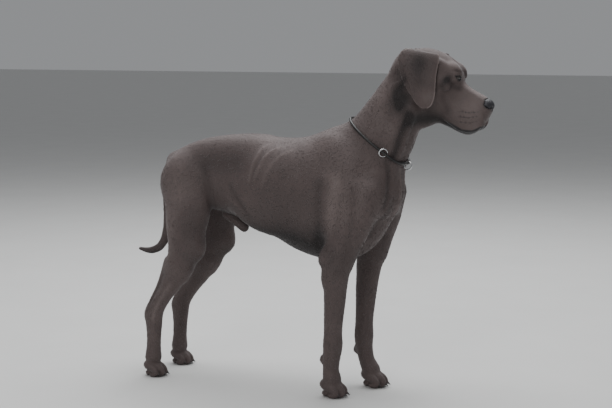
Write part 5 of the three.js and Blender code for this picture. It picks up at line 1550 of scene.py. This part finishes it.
head_nodes = ["head", "jaw", "neck", "ear_right", "ear_left"]
body_nodes = ["chest", "rump", "tail"]
for word in ("right", "left"):
    body_nodes += [f"foreleg_{word}", f"thigh_{word}", f"hind_leg_{word}", f"forepaw_{word}", f"hind_paw_{word}"]
for made, nodes in ((body_skin, body_nodes), (head_skin, head_nodes)):
    made.data.materials.append(coat)
    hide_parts(*nodes)
    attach(made, "root")

# ---- Floor, light and camera
# A plain pale studio floor, a wide soft lamp overhead and behind for the pale rim along the back,
# and a weaker one on the photograph's side.
floor_mesh = bpy.data.meshes.new("floor")
FLOOR = 40
floor_corners = [(FLOOR * a, FLOOR * b, 0) for a, b in ((-1, -1), (1, -1), (1, 1), (-1, 1))]
floor_mesh.from_pydata(floor_corners, [], [(0, 1, 2, 3)])
floor = placed("floor", floor_mesh)
pale, tree, shader = painted("pale floor")
g = grained(tree, 3.0, 60.0)
colour = mixed(tree, g.outputs["Mottle"], (0.60, 0.60, 0.59, 1), (0.66, 0.66, 0.65, 1))
surfaced(tree, shader, colour, sums(tree, "MULTIPLY_ADD", g.outputs["Height"], 0.1, 0.7))
floor_mesh.materials.append(pale)

world = bpy.data.worlds.new("studio")
world.use_nodes = True
sky = world.node_tree.nodes["Background"]
sky.inputs["Color"].default_value = (0.95, 0.97, 1.0, 1)
sky.inputs["Strength"].default_value = 0.30
bpy.context.scene.world = world


def lamp(name, place, aim, size, power, shade):
    light = bpy.data.lights.new(name, "AREA")
    light.shape = "DISK"
    light.size = size
    light.energy = power
    light.color = shade
    made = placed(name, light)
    made.location = place
    made.rotation_euler = (Vector(aim) - Vector(place)).to_track_quat("-Z", "Y").to_euler()


lamp("sky above", (-0.5, 1.3, 4.6), (0, 0, 0.6), 5.5, 330, (0.98, 0.99, 1.0))
lamp("soft side", (0.2, -4.6, 3.2), (0.0, 0, 0.7), 2.6, 70, (1.0, 0.98, 0.96))

# The camera: at the photograph's place, five metres off and level with the head.
CAMERA_AT = (2103.27, -4036.62, 1157.21)
CAMERA_ROUND, CAMERA_DOWN = math.radians(25), math.radians(6.926)
SENSOR, PICTURE_WIDTH, FOCAL_PIXELS = 36, 612, 1350
camera = bpy.data.cameras.new("camera")
camera.lens = SENSOR * FOCAL_PIXELS / PICTURE_WIDTH
camera.sensor_width = SENSOR
level = math.cos(CAMERA_DOWN)
back = Vector((math.sin(CAMERA_ROUND) * level, -math.cos(CAMERA_ROUND) * level, math.sin(CAMERA_DOWN)))
right = Vector((math.cos(CAMERA_ROUND), math.sin(CAMERA_ROUND), 0))
stand = placed("camera", camera)
turned = Matrix((right, back.cross(right), back)).transposed().to_4x4()
stand.matrix_world = Matrix.Translation((Vector(CAMERA_AT) - Vector(SHIFT)) / 1000) @ turned
bpy.context.scene.camera = stand
